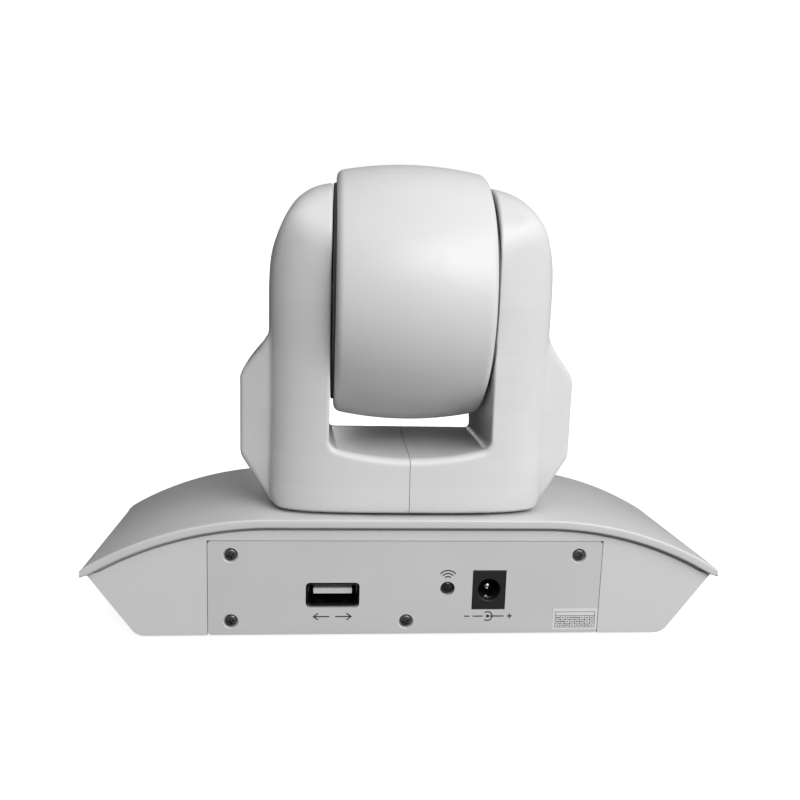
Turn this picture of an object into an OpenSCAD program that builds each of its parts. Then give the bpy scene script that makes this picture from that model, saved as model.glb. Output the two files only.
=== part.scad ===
// Tabletop pan and tilt camera: arched base, turning yoke, tilting drum head with a zoom lens.
// +Z is up and the lens looks along -Y. The pan axis is the Z axis.
// Heights below are measured from the underside of the base, which the rubber feet lift off the table.

/* [Base] */
// Width of the arched cover from tip to tip
cover_w = 169.4; // [160:0.2:180]
// Depth of the base body
base_d = 60; // [56:1:66]
// Width of the base at its underside
bottom_w = 144; // [130:0.5:150]
// Height of the flat middle of the cover, at its underside
cover_under = 30; // [28:0.5:34]
// Thickness of the arched cover
cover_t = 2.3; // [1.8:0.1:3]
// Half-width of the flat middle of the cover
arch_flat = 36; // [30:1:40]
// Radius of the cover's underside beyond the flat middle
arch_r = 91; // [88:0.5:100]
// How far the cover stands past the body, front and rear
cover_over = 1.55; // [1:0.05:3]
// How steeply the cover falls towards the front, in degrees
cover_fall = 2.2; // [0:0.1:4]
// Wall thickness of the base shell
base_wall = 2.2; // [1.6:0.1:3]
// Height of the rubber feet below the base
foot_h = 1.2; // [0.8:0.1:3]

/* [Rear panel] */
// Width of the rear panel
panel_w = 104.8; // [96:0.2:110]
// Height of the rear panel
panel_h = 25.7; // [24:0.1:27]
// Thickness of the rear panel
panel_t = 1.6; // [1.2:0.1:2.4]
// Centre of the data socket across the panel
usb_x = 19.8; // [16:0.1:26]
// Centre height of the data socket
usb_z = 11.1; // [10:0.1:13]
// Centre of the power jack across the panel
jack_x = -22.05; // [-26:0.05:-18]
// Centre height of the power jack
jack_z = 12.45; // [11:0.05:14]
// Position of the remote-control receiver across the panel
eye_x = -10.8; // [-13:0.1:-8]
// Height of the remote-control receiver
eye_z = 12.9; // [11:0.1:16]

/* [Yoke] */
// Half-width of the yoke's arms
arm_x = 38.2; // [36.5:0.1:39]
// Half-width of the slot that holds the head
slot_x = 21.4; // [21:0.1:23]
// Height of the tilt axis
axis_z = 89; // [86:0.5:92]
// Height of the top of the arms
arm_top = 119.3; // [116:0.1:121]
// Height of the slot's floor
floor_z = 48.2; // [46:0.1:50]
// Height of the yoke's underside
yoke_z = 32.9; // [32.7:0.1:34]
// Outer half-width over the side pods
pod_x = 46.3; // [45:0.1:48]
// Wall thickness of the yoke shells
yoke_wall = 2.2; // [1.8:0.1:2.6]

/* [Head] */
// Radius of the drum at its middle
drum_r = 35.4; // [33:0.1:36]
// Radius of the drum at its sides
drum_end_r = 33.2; // [31:0.1:35]
// Half-width of the drum
drum_x = 20.3; // [18:0.1:20.4]
// Wall thickness of the drum shells
drum_wall = 1.8; // [1.4:0.1:2.4]
// Where the drum splits into a front and a rear shell
split_y = -9; // [-14:0.5:-6]
// Outer radius of the lens bezel
bezel_r = 16.4; // [15:0.1:17]
// Distance from the tilt axis to the front of the bezel
bezel_y = 37.2; // [36.8:0.1:37.6]

/* [Gears] */
// Tooth module of the pan gears
pan_module = 1; // [0.9:0.1:1]
// Teeth on the pan gear
pan_teeth = 40; // [38:2:40]
// Teeth on the pan pinion
pan_pinion_teeth = 12; // [12:1:14]
// Tooth module of the tilt gears
tilt_module = 0.8; // [0.7:0.1:0.8]
// Teeth on the tilt gear
tilt_teeth = 54; // [50:2:54]
// Teeth on the tilt pinion
tilt_pinion_teeth = 20; // [18:1:20]

/* [Hidden] */

$fn = 96;
half_d = base_d / 2;
tip_x = cover_w / 2;
tip_z = cover_under - arch_r + sqrt(pow(arch_r, 2) - pow(tip_x - arch_flat, 2));
bottom_x = bottom_w / 2;
gap = 0.25;
cover_gap = 0.9;
panel_z = 0.4;
panel_front = half_d - panel_t;
panel_screw_at = [[46.5, 22.2], [46.5, 3.9], [0.1, 3.6], [-46.1, 22.1], [-46.1, 3.9]];
head_r = 1.65;
thread_r = 0.9;
recess_r = 1.85;
plate_x = 58;
plate_y = 24.5;
ledge_x = 50;
ledge_y = 17;
floor_t = 4;
plate_t = 2;
foot_at = [for (x = [-64.5, 64.5], y = [-22, 22]) [x, y]];
foot_r = 4.5;
bottom_screw_at = [for (x = [-54, 54], y = [-20.8, 20.8]) [x, y]];
foot_set = 0.8;
insert_r = 6;
socket_r = 3.175;
socket_l = 8;
board_z = 5.3;
board_t = 1.6;
board_x = 33;
board_y0 = 9.5;
board_y1 = 26;
usb_w = 13.4;
usb_h = 6.1;
usb_t = 0.4;
usb_cut = [14, 6.7];
usb_deep = 14;
usb_front = half_d - 1;
tongue = [10.4, 12, 1.6];
jack_size = [8.9, 13, 11];
jack_hole_r = 3.2;
jack_pin_r = 1.05;
jack_deep = 9.5;
eye_r = 1.8;
window = [60, 12];
window_z = 13.5;
pan_centre = pan_module * (pan_teeth + pan_pinion_teeth) / 2;
tilt_centre = tilt_module * (tilt_teeth + tilt_pinion_teeth) / 2;
tilt_motor_y = 6;
tilt_angle = asin(tilt_motor_y / tilt_centre);
tilt_motor_z = axis_z - tilt_centre * cos(tilt_angle);
gear_z = 19.4;
gear_h = 3.4;
bearing_z = 26;
bearing_h = 3.6;
collar_z = bearing_z + bearing_h + 0.3;
bearing_r = 19;
neck_r = 14;
spindle_r = 8;
collar_r = 20;
flange_r = 21.6;
hub_bore_r = 5.5;
dome_z = 96.3;
hub_screw_r = 18.5;
running = 0.03;
slip = 0.05;
motor_r = 10;
motor_z = 9;
motor_h = 8.5;
post_at = [for (x = [-38, 38], y = [-21, 21]) [x, y]];
shaft_r = 4;
motor_shaft_r = 1.2;
tilt_gear_x = 24.2;
tilt_gear_w = 3;
cheek_x = 27.9;
cheek_t = 1.5;
cheek_r = 14;
tilt_motor_r = 8;
tilt_motor_l = 11.6;
frame_z = 37;
frame_y = [-8.5, 20];
yoke_screw_at = [for (x = [-25.5, 25.5], y = [-5, 15]) [x, y]];
trunnion_r = 5;
side_disc_r = 30;
side_disc_t = 0.8;
ear_x = 16.8;
ear_t = 1.5;
ear_y = [-9, 13];
bezel_in = 13.6;
glass_y = 35.2;
barrel_r = 12.4;
barrel_in = 11;
cell_in = 8.4;
big = 400;

// ---- helpers -------------------------------------------------------------------------------------

// Everything is drawn from the underside of the base and lifted onto the feet.
module lift() translate([0, 0, foot_h]) children();

// A profile drawn in X and Z, running along Y from y0 to y1.
module along_y(y0, y1) translate([0, y1, 0]) rotate([90, 0, 0]) linear_extrude(y1 - y0) children();

// A profile drawn in Y and Z, running along X from x0 to x1.
module along_x(x0, x1) translate([x0, 0, 0]) rotate([90, 0, 90]) linear_extrude(x1 - x0) children();

// A round bar along Y from y0 to y1.
module bar_y(r, y0, y1) translate([0, y1, 0]) rotate([90, 0, 0]) cylinder(r = r, h = y1 - y0);

// A round bar along X from x0 to x1.
module bar_x(r, x0, x1) translate([x0, 0, 0]) rotate([0, 90, 0]) cylinder(r = r, h = x1 - x0);

// Points on an elliptical arc.
function arc(c, rx, ry, a0, a1, n) =
    [for (i = [0:n]) let(a = a0 + (a1 - a0) * i / n) c + [rx * cos(a), ry * sin(a)]];

// The same outline on both sides of the middle, from points with positive X.
function both_sides(pts) = concat(pts, [for (i = [len(pts) - 1:-1:0]) [-pts[i][0], pts[i][1]]]);

// A cross-recess pan-head screw pointing down -Z, with its head from z = 0 to h.
module screw(r, h, shaft, length) {
    difference() {
        cylinder(r = r, h = h);
        for (a = [0, 90]) rotate(a) translate([-r * 0.6, -r * 0.13, h * 0.4]) cube([r * 1.2, r * 0.26, h]);
    }
    translate([0, 0, -length]) cylinder(r = shaft, h = length + 0.01);
}

// Half the angle that a tooth fills at radius r. flank is the pressure angle.
function roll(rb, r) = let(a = acos(min(1, rb / r))) tan(a) * 180 / PI - a;
function tooth_half(n, m, r, flank, slack) = let(rp = n * m / 2, rb = rp * cos(flank))
    90 / n - slack / rp * 180 / PI / 2 + roll(rb, rp) - roll(rb, max(r, rb));

// Outline of an involute spur gear, with one tooth centred on +X.
module gear_outline(n, m) {
    flank = 25;
    slack = 0.14;
    root = n * m / 2 - 1.1 * m;
    rising = [root, max(root + 0.05, n * m / 2 * cos(flank) + 0.02), n * m / 2, n * m / 2 + 0.75 * m];
    polygon([for (i = [0:n - 1], s = [-1, 1], k = [0:len(rising) - 1])
        let(r = s < 0 ? rising[k] : rising[len(rising) - 1 - k],
            a = i * 360 / n + s * tooth_half(n, m, r, flank, slack)) r * [cos(a), sin(a)]]);
}

// A place on the tilt axis with local Z along +X.
module on_tilt_axis(x) translate([x, 0, axis_z]) rotate([0, 90, 0]) children();

// ---- base ----------------------------------------------------------------------------------------

// Outline of the space under the arch, raised by t and half_w wide to each side.
module arch_profile(t, half_w) intersection() {
    union() {
        for (s = [-1, 1]) translate([s * arch_flat, cover_under - arch_r]) circle(arch_r + t, $fn = 256);
        translate([-arch_flat, -20]) square([2 * arch_flat, cover_under + t + 20]);
    }
    translate([-half_w, -20]) square([2 * half_w, cover_under + cover_t + 20]);
}

// The space under the arch, from y0 to y1. It falls from the rear edge to the front.
module arch_space(t, half_w, y0, y1) translate([0, half_d, cover_under]) rotate([cover_fall, 0, 0])
    translate([0, -half_d, -cover_under]) along_y(y0, y1) arch_profile(t, half_w);

// The base body's outline, moved inwards by t. The sides lean out to the cover's tips.
module body_profile(t, top) {
    side = [tip_x - 1.3, tip_z - 0.2];
    lean = atan2(side[1] - 3, side[0] - bottom_x);
    c = [bottom_x - 3.2, 3];
    shift = t / sin(lean);
    polygon(both_sides(concat(
        [[c[0] - t * 0.3, t]],
        arc(c, 3 - min(t, 2.4), 3 - min(t, 2.4), -90, lean - 90, 5),
        [side - [shift, 0], [side[0] - shift, top]])));
}

module base_shell() color("gainsboro") lift() difference() {
    intersection() {
        along_y(-half_d, half_d) body_profile(0, cover_under);
        arch_space(-cover_gap, cover_w, -cover_w, cover_w);
    }
    difference() {
        along_y(-half_d + base_wall, half_d - 3.2) body_profile(base_wall, big);
        translate([-big / 2, -half_d, 0]) cube([big, base_d, floor_t]);
    }
    // recess and opening for the rear panel
    translate([-panel_w / 2 - gap, panel_front - 0.1, panel_z - gap])
        cube([panel_w + 2 * gap, panel_t + 1, panel_h + 2 * gap]);
    translate([-panel_w / 2 + 2, half_d - 4, floor_t]) cube([panel_w - 4, 5, panel_h - floor_t - 1.6]);
    // recess and opening for the bottom plate
    translate([-plate_x - gap, -plate_y - gap, -1])
        cube([2 * (plate_x + gap), 2 * (plate_y + gap), plate_t + 1]);
    translate([-ledge_x, -ledge_y, -1]) cube([2 * ledge_x, 2 * ledge_y, floor_t + 2]);
    // front window
    translate([-window[0] / 2, -half_d - 1, window_z - window[1] / 2]) cube([window[0], 5, window[1]]);
    for (p = foot_at) translate([p[0], p[1], -1]) {
        cylinder(r = foot_r, h = 1 + foot_set);
        cylinder(r = 2.4, h = 1 + 2.4);
        cylinder(r = 1.4, h = 1 + floor_t + 1);
    }
    for (p = bottom_screw_at) translate([p[0], p[1], -1]) cylinder(r = 1.1, h = floor_t + 2);
    for (p = panel_screw_at) translate([p[0], 0, p[1]]) bar_y(thread_r, half_d - 8, half_d);
}

module base_cover() color("gainsboro") lift() {
    difference() {
        intersection() {
            difference() {
                arch_space(cover_t, cover_w, -cover_w, cover_w);
                arch_space(0, 2 * cover_w, -2 * cover_w, 2 * cover_w);
            }
            cover_plan();
        }
        translate([0, 0, cover_under - 5]) cylinder(r = collar_r + 1, h = 20);
    }
    // screw posts that stand on the base's floor
    for (p = foot_at) translate([p[0], p[1], floor_t]) difference() {
        intersection() {
            cylinder(r = 3, h = 30);
            translate([-p[0], -p[1], -floor_t]) arch_space(0, cover_w, -cover_w, cover_w);
        }
        translate([0, 0, -1]) cylinder(r = 1.2, h = 11);
    }
}

// Plan of the cover, with its front corners rounded.
module cover_plan() linear_extrude(big) {
    edge = half_d + cover_over;
    polygon(both_sides(concat([[tip_x, edge]], arc([tip_x - 5, -edge + 5], 5, 5, 0, -90, 8))));
}

module rear_panel() color("gainsboro") lift() difference() {
    along_y(panel_front, half_d) translate([-panel_w / 2, panel_z]) square([panel_w, panel_h]);
    translate([usb_x - usb_cut[0] / 2, panel_front - 1, usb_z - usb_cut[1] / 2])
        cube([usb_cut[0], 5, usb_cut[1]]);
    translate([jack_x - jack_size[0] / 2 - 0.1, panel_front - 1, jack_z - jack_size[2] / 2 - 0.1])
        cube([jack_size[0] + 0.2, 5, jack_size[2] + 0.2]);
    translate([eye_x, 0, eye_z]) bar_y(eye_r + 0.1, panel_front - 1, half_d + 1);
    for (p = panel_screw_at) translate([p[0], 0, p[1]]) {
        bar_y(recess_r, half_d - 0.9, half_d + 1);
        bar_y(1.1, panel_front - 1, half_d + 1);
    }
}

module panel_screws() color("dimgray") lift()
    for (p = panel_screw_at) translate([p[0], half_d - 0.9, p[1]]) rotate([-90, 0, 0])
        screw(head_r, 0.75, thread_r, 6);

module blank_label() color("white") lift()
    translate([-52.3, half_d, 1]) cube([12.3, 0.12, 6]);

module bottom_plate() color("silver") lift() difference() {
    translate([-plate_x, -plate_y, 0]) cube([2 * plate_x, 2 * plate_y, plate_t]);
    translate([0, 0, -1]) cylinder(r = insert_r + slip, h = plate_t + 2);
    for (p = bottom_screw_at) translate([p[0], p[1], -1]) {
        cylinder(r = 2.6, h = 2);
        cylinder(r = 1.3, h = plate_t + 2);
    }
    for (x = [-30:5:30]) if (abs(x) > 12) translate([x - 1, -12, -1]) cube([2, 24, plate_t + 2]);
}

module bottom_screws() color("dimgray") lift()
    for (p = bottom_screw_at) translate([p[0], p[1], 0.95]) mirror([0, 0, 1]) screw(2.4, 0.85, 1.1, 8);

module cover_screws() color("dimgray") lift()
    for (p = foot_at) translate([p[0], p[1], 2.35]) mirror([0, 0, 1]) screw(2.3, 1.4, 1.2, 10);

module rubber_feet() color([0.12, 0.12, 0.12]) lift()
    for (p = foot_at) translate([p[0], p[1], -foot_h])
        cylinder(r = foot_r - slip, h = foot_h + foot_set - slip);

module tripod_insert() color("goldenrod") lift() difference() {
    union() {
        cylinder(r = insert_r, h = socket_l + 1);
        translate([0, 0, plate_t]) cylinder(r = insert_r + 2, h = 1.5);
    }
    translate([0, 0, -1]) cylinder(r = socket_r, h = socket_l + 1);
}

module front_window() color([0.1, 0.07, 0.09]) lift()
    translate([-window[0] / 2 + 0.1, -half_d, window_z - window[1] / 2 + 0.1])
        cube([window[0] - 0.2, 1.8, window[1] - 0.2]);

module ir_receiver_front() color([0.05, 0.05, 0.05]) lift() translate([-8, 0, window_z]) {
    bar_y(eye_r, -half_d + 2.4, -half_d + 5);
    translate([-3, -half_d + 5, -4]) cube([6, 3, 8]);
}

module status_led() color("deepskyblue") lift() translate([8, 0, window_z])
    bar_y(1.5, -half_d + 2.4, -half_d + 7);

module ir_receiver_rear() color([0.05, 0.05, 0.05]) lift() translate([eye_x, 0, eye_z]) {
    bar_y(eye_r, half_d - 2.2, half_d - 0.5);
    translate([-2.6, half_d - 5.2, board_z + board_t - eye_z]) cube([5.2, 3, eye_z - board_z]);
}

// ---- sockets and electronics ---------------------------------------------------------------------

module usb_shell() color("silver") lift() translate([usb_x, 0, usb_z]) difference() {
    along_y(usb_front - usb_deep, usb_front) square([usb_w, usb_h], center = true);
    along_y(usb_front - usb_deep + 1, usb_front + 1)
        square([usb_w - 2 * usb_t, usb_h - 2 * usb_t], center = true);
}

module usb_tongue() color("white") lift()
    translate([usb_x - tongue[0] / 2, usb_front - 1 - tongue[1], usb_z - 0.4]) cube(tongue);

module usb_contacts() color("goldenrod") lift() for (x = [-3.5, -1, 1, 3.5])
    translate([usb_x + x - 0.5, usb_front + 1 - tongue[1], usb_z - 0.6]) cube([1, tongue[1] - 3, 0.2]);

module dc_jack() color([0.08, 0.08, 0.08]) lift() translate([jack_x, half_d, jack_z]) difference() {
    translate([-jack_size[0] / 2, -jack_size[1], -jack_size[2] / 2]) cube(jack_size);
    bar_y(jack_hole_r, -jack_deep, 1);
    // the mouth's shallow square frame
    translate([-3.4, -0.5, -3.4]) cube([6.8, 1, 6.8]);
}

module dc_pin() color("silver") lift() translate([jack_x, half_d, jack_z])
    bar_y(jack_pin_r, -jack_deep, -1.2);

module main_board() color("seagreen") lift() difference() {
    translate([-board_x, board_y0, board_z]) cube([2 * board_x, board_y1 - board_y0, board_t]);
    for (x = [-30, 30]) translate([x, 13, board_z - 1]) cylinder(r = 1.2, h = 4);
}

module board_chips() color([0.13, 0.13, 0.14]) lift() translate([0, 0, board_z + board_t]) {
    for (c = [[-9, 11, 8, 8, 1.1], [2, 11, 6, 6, 0.9], [-30, 17.5, 3, 5, 1.6], [9.5, 11, 2, 1.2, 0.5],
        [9.5, 13.5, 2, 1.2, 0.5], [14, 10.5, 4.5, 3.5, 1.2], [20, 10.5, 5, 4, 1.5]])
        translate([c[0], c[1], 0]) cube([c[2], c[3], c[4]]);
}

// ---- pan drive -----------------------------------------------------------------------------------

module pan_bracket() color("silver") lift() difference() {
    union() {
        translate([-41, -23.5, bearing_z - 1.5]) cube([82, 47, 1.5]);
        for (p = post_at) translate([p[0], p[1], floor_t]) cylinder(r = 3, h = bearing_z - 1.5 - floor_t);
        for (y = [-13.5, 13.5]) translate([-pan_centre, y, motor_z + motor_h + 1])
            cylinder(r = 2, h = bearing_z - 1.5 - motor_z - motor_h - 1);
        // seat round the bearing
        translate([0, 0, bearing_z]) difference() {
            cylinder(r = bearing_r + 1.5, h = bearing_h - 0.2);
            translate([0, 0, -1]) cylinder(r = bearing_r, h = 10);
        }
    }
    translate([0, 0, bearing_z - 5]) cylinder(r = neck_r + 1.5, h = 6);
}

module pan_bearing() color("slategray") lift() translate([0, 0, bearing_z]) difference() {
    cylinder(r = bearing_r, h = bearing_h);
    translate([0, 0, -1]) cylinder(r = neck_r + running, h = bearing_h + 2);
}

module pan_motor() color("silver") lift() translate([-pan_centre, 0, motor_z]) difference() {
    union() {
        cylinder(r = motor_r, h = motor_h);
        translate([-4, -15.5, motor_h]) cube([8, 31, 1]);
    }
    for (y = [-13.5, 13.5]) translate([0, y, motor_h - 1]) cylinder(r = 1.1, h = 3);
    translate([0, 0, motor_h - 3]) cylinder(r = motor_shaft_r + running, h = 5);
}

module pan_pinion() color("gold") lift()
    translate([-pan_centre, 0, gear_z - 0.6]) rotate(180 / pan_pinion_teeth) {
        linear_extrude(gear_h + 1.2) gear_outline(pan_pinion_teeth, pan_module);
        translate([0, 0, -2.6]) cylinder(r = motor_shaft_r, h = 3);
    }

module pan_gear() color("ivory") lift() translate([0, 0, gear_z]) linear_extrude(gear_h) difference() {
    gear_outline(pan_teeth, pan_module);
    circle(spindle_r + slip);
}

module pan_hub() color("dimgray") lift() difference() {
    rotate_extrude() polygon([[hub_bore_r, gear_z - 0.8], [spindle_r, gear_z - 0.8],
        [spindle_r, gear_z + gear_h], [neck_r, gear_z + gear_h], [neck_r, collar_z],
        [collar_r, collar_z], [collar_r, yoke_z], [neck_r, yoke_z], [neck_r, yoke_z + yoke_wall],
        [flange_r, yoke_z + yoke_wall], [flange_r, frame_z], [hub_bore_r, frame_z]]);
    for (a = [45:90:315]) rotate(a) translate([hub_screw_r, 0, frame_z - 1.4]) cylinder(r = 1, h = 10);
}

// ---- yoke ----------------------------------------------------------------------------------------

// Front view of the arms and the body below them, moved inwards by t.
module yoke_front(t) polygon(both_sides(concat(
    [[33, yoke_z + t], [36 - t, yoke_z + 0.8 + t], [arm_x - t, yoke_z + 3 + t]],
    arc([slot_x, dome_z], arm_x - t - slot_x, arm_top - dome_z - t, 0, 90, 14))));

// Side view: domed arms, a nearly straight back and a waist in front.
module yoke_side(t) {
    back = [[28.2 - t, yoke_z + t], [26.8 - t, floor_z], [26.4 - t, 66], [27.2 - t, 84]];
    front = [[-23.5 + t, 81], [-18 + t, 70], [-12.6 + t, 60], [-10 + t, 54], [-10 + t, floor_z - 1 - t / 2],
        [-15.5 + t, 43.6 - t * 0.7], [-27 + t, max(34.9 - t / 2, yoke_z + t + 0.1)], [-27 + t, yoke_z + t]];
    polygon(concat(back, arc([0, axis_z], 28.2 - t, arm_top - axis_z - t, 0, 180, 24), front));
}

// Plan of the yoke: rounded outer corners and a gently curved back.
module yoke_plan(t) polygon(both_sides(concat(
    [[0, 28.2 - t], [14, 27.8 - t]],
    arc([slot_x, 12], arm_x - slot_x - t, 15.2 - t, 90, 0, 10),
    arc([arm_x - 11, -16], 11 - t, 11 - t, 0, -90, 8))));

// Side pods: front view and plan, moved inwards by t.
module pod_front(t) polygon(both_sides([[30, 34 + t], [37 - t, 34 + t], [pod_x - 0.4 - t, 45.6 + t],
    [pod_x - t, 46.6 + t], [pod_x - t, 66.2 - t], [pod_x - 0.6 - t, 68.6 - t],
    [pod_x - 1.8 - t, 70.8 - t], [38.2 - t, 78 - t], [30, 78 - t]]));

module pod_plan(t) polygon(both_sides(concat([[30, 19.6 - t], [38 - t / 2, 18.6 - t]],
    arc([pod_x - 1.6, 15 - t / 2], 1.6 - t / 2, 1.6 - t / 2, 60, 0, 4),
    arc([pod_x - 3, 2], 3 - t / 2, 4, 0, -60, 4), [[41.5 - t, -6.5 + t], [30, -12 + t]])));

module yoke_solid(t) {
    intersection() {
        along_y(-60, 60) yoke_front(t);
        along_x(-60, 60) yoke_side(t);
        linear_extrude(140) yoke_plan(t);
    }
    intersection() {
        along_y(-60, 60) pod_front(t);
        linear_extrude(140) pod_plan(t);
    }
}

// The slot between the arms, grown by t.
module yoke_slot(t) along_y(-60, 60) polygon(both_sides(concat(
    arc([slot_x + t - 1.6, floor_z - t + 1.6], 1.6, 1.6, -90, 0, 5), [[slot_x + t, 140]])));

module yoke_shell(side) lift() difference() {
    intersection() {
        difference() {
            yoke_solid(0);
            yoke_slot(0);
        }
        translate([side < 0 ? -60 : 0.02, -60, 0]) cube([59.98, 120, 140]);
    }
    difference() {
        yoke_solid(yoke_wall);
        yoke_slot(yoke_wall - 0.2);
        for (p = yoke_screw_at) translate([p[0], p[1], 0]) cylinder(r = 3, h = frame_z);
    }
    // hub and tilt shaft openings, screw holes
    translate([0, 0, yoke_z - 1]) cylinder(r = neck_r + 0.2, h = 6);
    translate([0, 0, axis_z]) bar_x(6.5, -cheek_x, cheek_x);
    for (p = yoke_screw_at) translate([p[0], p[1], 0]) {
        cylinder(r = 2.2, h = yoke_z + 1.2);
        cylinder(r = 1.3, h = frame_z + 2);
    }
}

module yoke_left_shell() color("whitesmoke") yoke_shell(-1);

module yoke_right_shell() color("whitesmoke") yoke_shell(1);

module yoke_frame() color("lightsteelblue") lift() difference() {
    union() {
        translate([-cheek_x - cheek_t, frame_y[0], frame_z])
            cube([2 * (cheek_x + cheek_t), frame_y[1] - frame_y[0], cheek_t]);
        for (side = [0, 1]) mirror([side, 0, 0]) along_x(cheek_x, cheek_x + cheek_t)
            polygon(concat([[frame_y[0] + 1, frame_z], [frame_y[1], frame_z], [19, 60]],
                arc([0, axis_z], cheek_r, cheek_r, 0, 180, 16), [[frame_y[0] + 1, 62]]));
    }
    translate([0, 0, axis_z]) bar_x(7, -60, 60);
    translate([0, 0, frame_z - 1]) cylinder(r = 9, h = 6);
    translate([0, tilt_motor_y, tilt_motor_z]) bar_x(3.4, 20, 40);
    for (p = yoke_screw_at) translate([p[0], p[1], frame_z - 1]) cylinder(r = 1.1, h = 5);
    for (a = [45:90:315]) rotate(a) translate([hub_screw_r, 0, frame_z - 1]) cylinder(r = 1.2, h = 5);
}

module yoke_screws() color("dimgray") lift()
    for (p = yoke_screw_at) translate([p[0], p[1], yoke_z + 1.2]) mirror([0, 0, 1]) screw(2, 1, 1.1, 5);

// The frame's plate reaches over the two rear holes of the hub.
module hub_screws() color("dimgray") lift()
    for (a = [45, 135]) rotate(a) translate([hub_screw_r, 0, frame_z + cheek_t])
        screw(2, 1, 1, cheek_t + 1.3);

module tilt_bearings() color("slategray") lift() for (s = [-1, 1])
    translate([min(s * (cheek_x - 0.3), s * (cheek_x + cheek_t + 0.6)), 0, axis_z]) difference() {
        bar_x(7, 0, cheek_t + 0.9);
        bar_x(shaft_r + running, -1, cheek_t + 2);
    }

module tilt_motor() color("silver") lift()
    translate([cheek_x + cheek_t, tilt_motor_y, tilt_motor_z]) difference() {
        union() {
            bar_x(tilt_motor_r, 0, tilt_motor_l);
            translate([0, -3, -10.5]) cube([1, 6, 21]);
        }
        for (z = [-9, 9]) translate([0, 0, z]) bar_x(0.8, -1, 2);
        bar_x(motor_shaft_r + running, -1, 3);
    }

module tilt_pinion() color("gold") lift() on_tilt_axis(tilt_gear_x - 0.4) rotate(tilt_angle)
    translate([tilt_centre, 0, 0]) rotate(180 + 180 / tilt_pinion_teeth) {
        linear_extrude(tilt_gear_w + 0.5) gear_outline(tilt_pinion_teeth, tilt_module);
        cylinder(r = 2.4, h = cheek_x + cheek_t - tilt_gear_x + 0.2);
        cylinder(r = motor_shaft_r, h = cheek_x + cheek_t - tilt_gear_x + 2.8);
    }

// ---- head ----------------------------------------------------------------------------------------

// Half of the drum's section, across X and outwards from the tilt axis, moved inwards by t.
module drum_section(t) {
    crown = (pow(drum_x, 2) + pow(drum_r - drum_end_r, 2)) / 2 / (drum_r - drum_end_r);
    soft = 2;
    a = asin((drum_x - soft) / crown);
    x = drum_x - t;
    edge = drum_r - crown + sqrt(pow(crown, 2) - pow(drum_x - soft, 2)) - t;
    polygon(concat([[0, -x]], [[edge - soft, -x]],
        arc([edge - soft, -x + soft], soft, soft, -80, -10, 4),
        [for (i = [-6:6]) let(b = a * i / 6 * 0.99) [drum_r - crown + (crown - t) * cos(b),
            (crown - t) * sin(b) * (x - soft) / (drum_x - soft)]],
        arc([edge - soft, x - soft], soft, soft, 10, 80, 4), [[edge - soft, x]], [[0, x]]));
}

module drum(t) translate([0, 0, axis_z]) rotate([0, 90, 0]) rotate_extrude() drum_section(t);

module head_shell(front) lift() difference() {
    intersection() {
        difference() {
            drum(0);
            drum(drum_wall);
        }
        translate([-30, front ? -60 : split_y, 0]) cube([60, front ? split_y + 60 - 0.02 : 60, 140]);
    }
    translate([0, 0, axis_z]) bar_x(trunnion_r + slip, -40, 40);
    if (front) translate([0, 0, axis_z]) bar_y(bezel_r, -60, 0);
}

module head_rear_shell() color("whitesmoke") head_shell(false);

module head_front_shell() color("whitesmoke") head_shell(true);

// Thin discs that fill most of the gap between the drum's sides and the arms.
module side_discs() color([0.06, 0.06, 0.06]) lift() translate([0, 0, axis_z]) for (s = [-1, 1])
    rotate([0, s * 90, 0]) translate([0, 0, drum_x]) difference() {
        cylinder(r = side_disc_r, h = side_disc_t);
        translate([0, 0, -1]) cylinder(r = trunnion_r + slip, h = side_disc_t + 2);
    }

module tilt_trunnions() color("silver") lift() translate([0, 0, axis_z]) for (s = [-1, 1])
    rotate([0, s * 90, 0]) {
        translate([0, 0, ear_x]) cylinder(r = trunnion_r, h = 3.8);
        translate([0, 0, ear_x + 3.8]) cylinder(r = shaft_r, h = 10.6);
    }

module tilt_gear() color("ivory") lift() on_tilt_axis(tilt_gear_x) rotate(tilt_angle)
    linear_extrude(tilt_gear_w) difference() {
        gear_outline(tilt_teeth, tilt_module);
        circle(shaft_r + slip);
    }

module camera_bracket() color("lightsteelblue") lift() translate([0, 0, axis_z]) {
    for (side = [0, 1]) mirror([side, 0, 0]) translate([ear_x - ear_t, ear_y[0], -15])
        cube([ear_t, ear_y[1] - ear_y[0], 26]);
    translate([-ear_x, ear_y[0], -15 - ear_t]) cube([2 * ear_x, ear_y[1] - ear_y[0], ear_t]);
}

module camera_body() color([0.12, 0.12, 0.13]) lift() translate([0, 0, axis_z]) difference() {
    translate([-14.8, -8, -14.9]) cube([29.6, 20, 29]);
    bar_y(barrel_in, -9, 10);
    translate([-4.2, 9, -3.2]) cube([8.4, 4, 6.4]);
    for (x = [-11, 11], z = [-11, 11]) translate([x, 0, z]) bar_y(0.9, 9, 13);
}

module sensor_board() color("seagreen") lift() translate([0, 12, axis_z]) difference() {
    translate([-14, 0, -13]) cube([28, 1.4, 26]);
    for (x = [-11, 11], z = [-11, 11]) translate([x, 0, z]) bar_y(1, -1, 3);
}

module image_sensor() color("slategray") lift() translate([-4, 10.4, axis_z - 3]) cube([8, 1.6, 6]);

module lens_barrel() color([0.07, 0.07, 0.07]) lift() translate([0, 0, axis_z]) difference() {
    bar_y(barrel_r, -33.4, -8);
    bar_y(barrel_in, -40, 0);
}

module lens_bezel() color([0.1, 0.1, 0.1]) lift() translate([0, 0, axis_z]) difference() {
    bar_y(bezel_r - 0.05, -bezel_y, -31);
    bar_y(bezel_in, -bezel_y - 1, -glass_y);
    bar_y(barrel_r + 0.1, -40, -30);
}

module front_glass() color([0.2, 0.25, 0.35, 0.5]) lift() translate([0, 0, axis_z])
    bar_y(bezel_in - 0.05, -glass_y - 1, -glass_y);

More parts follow.
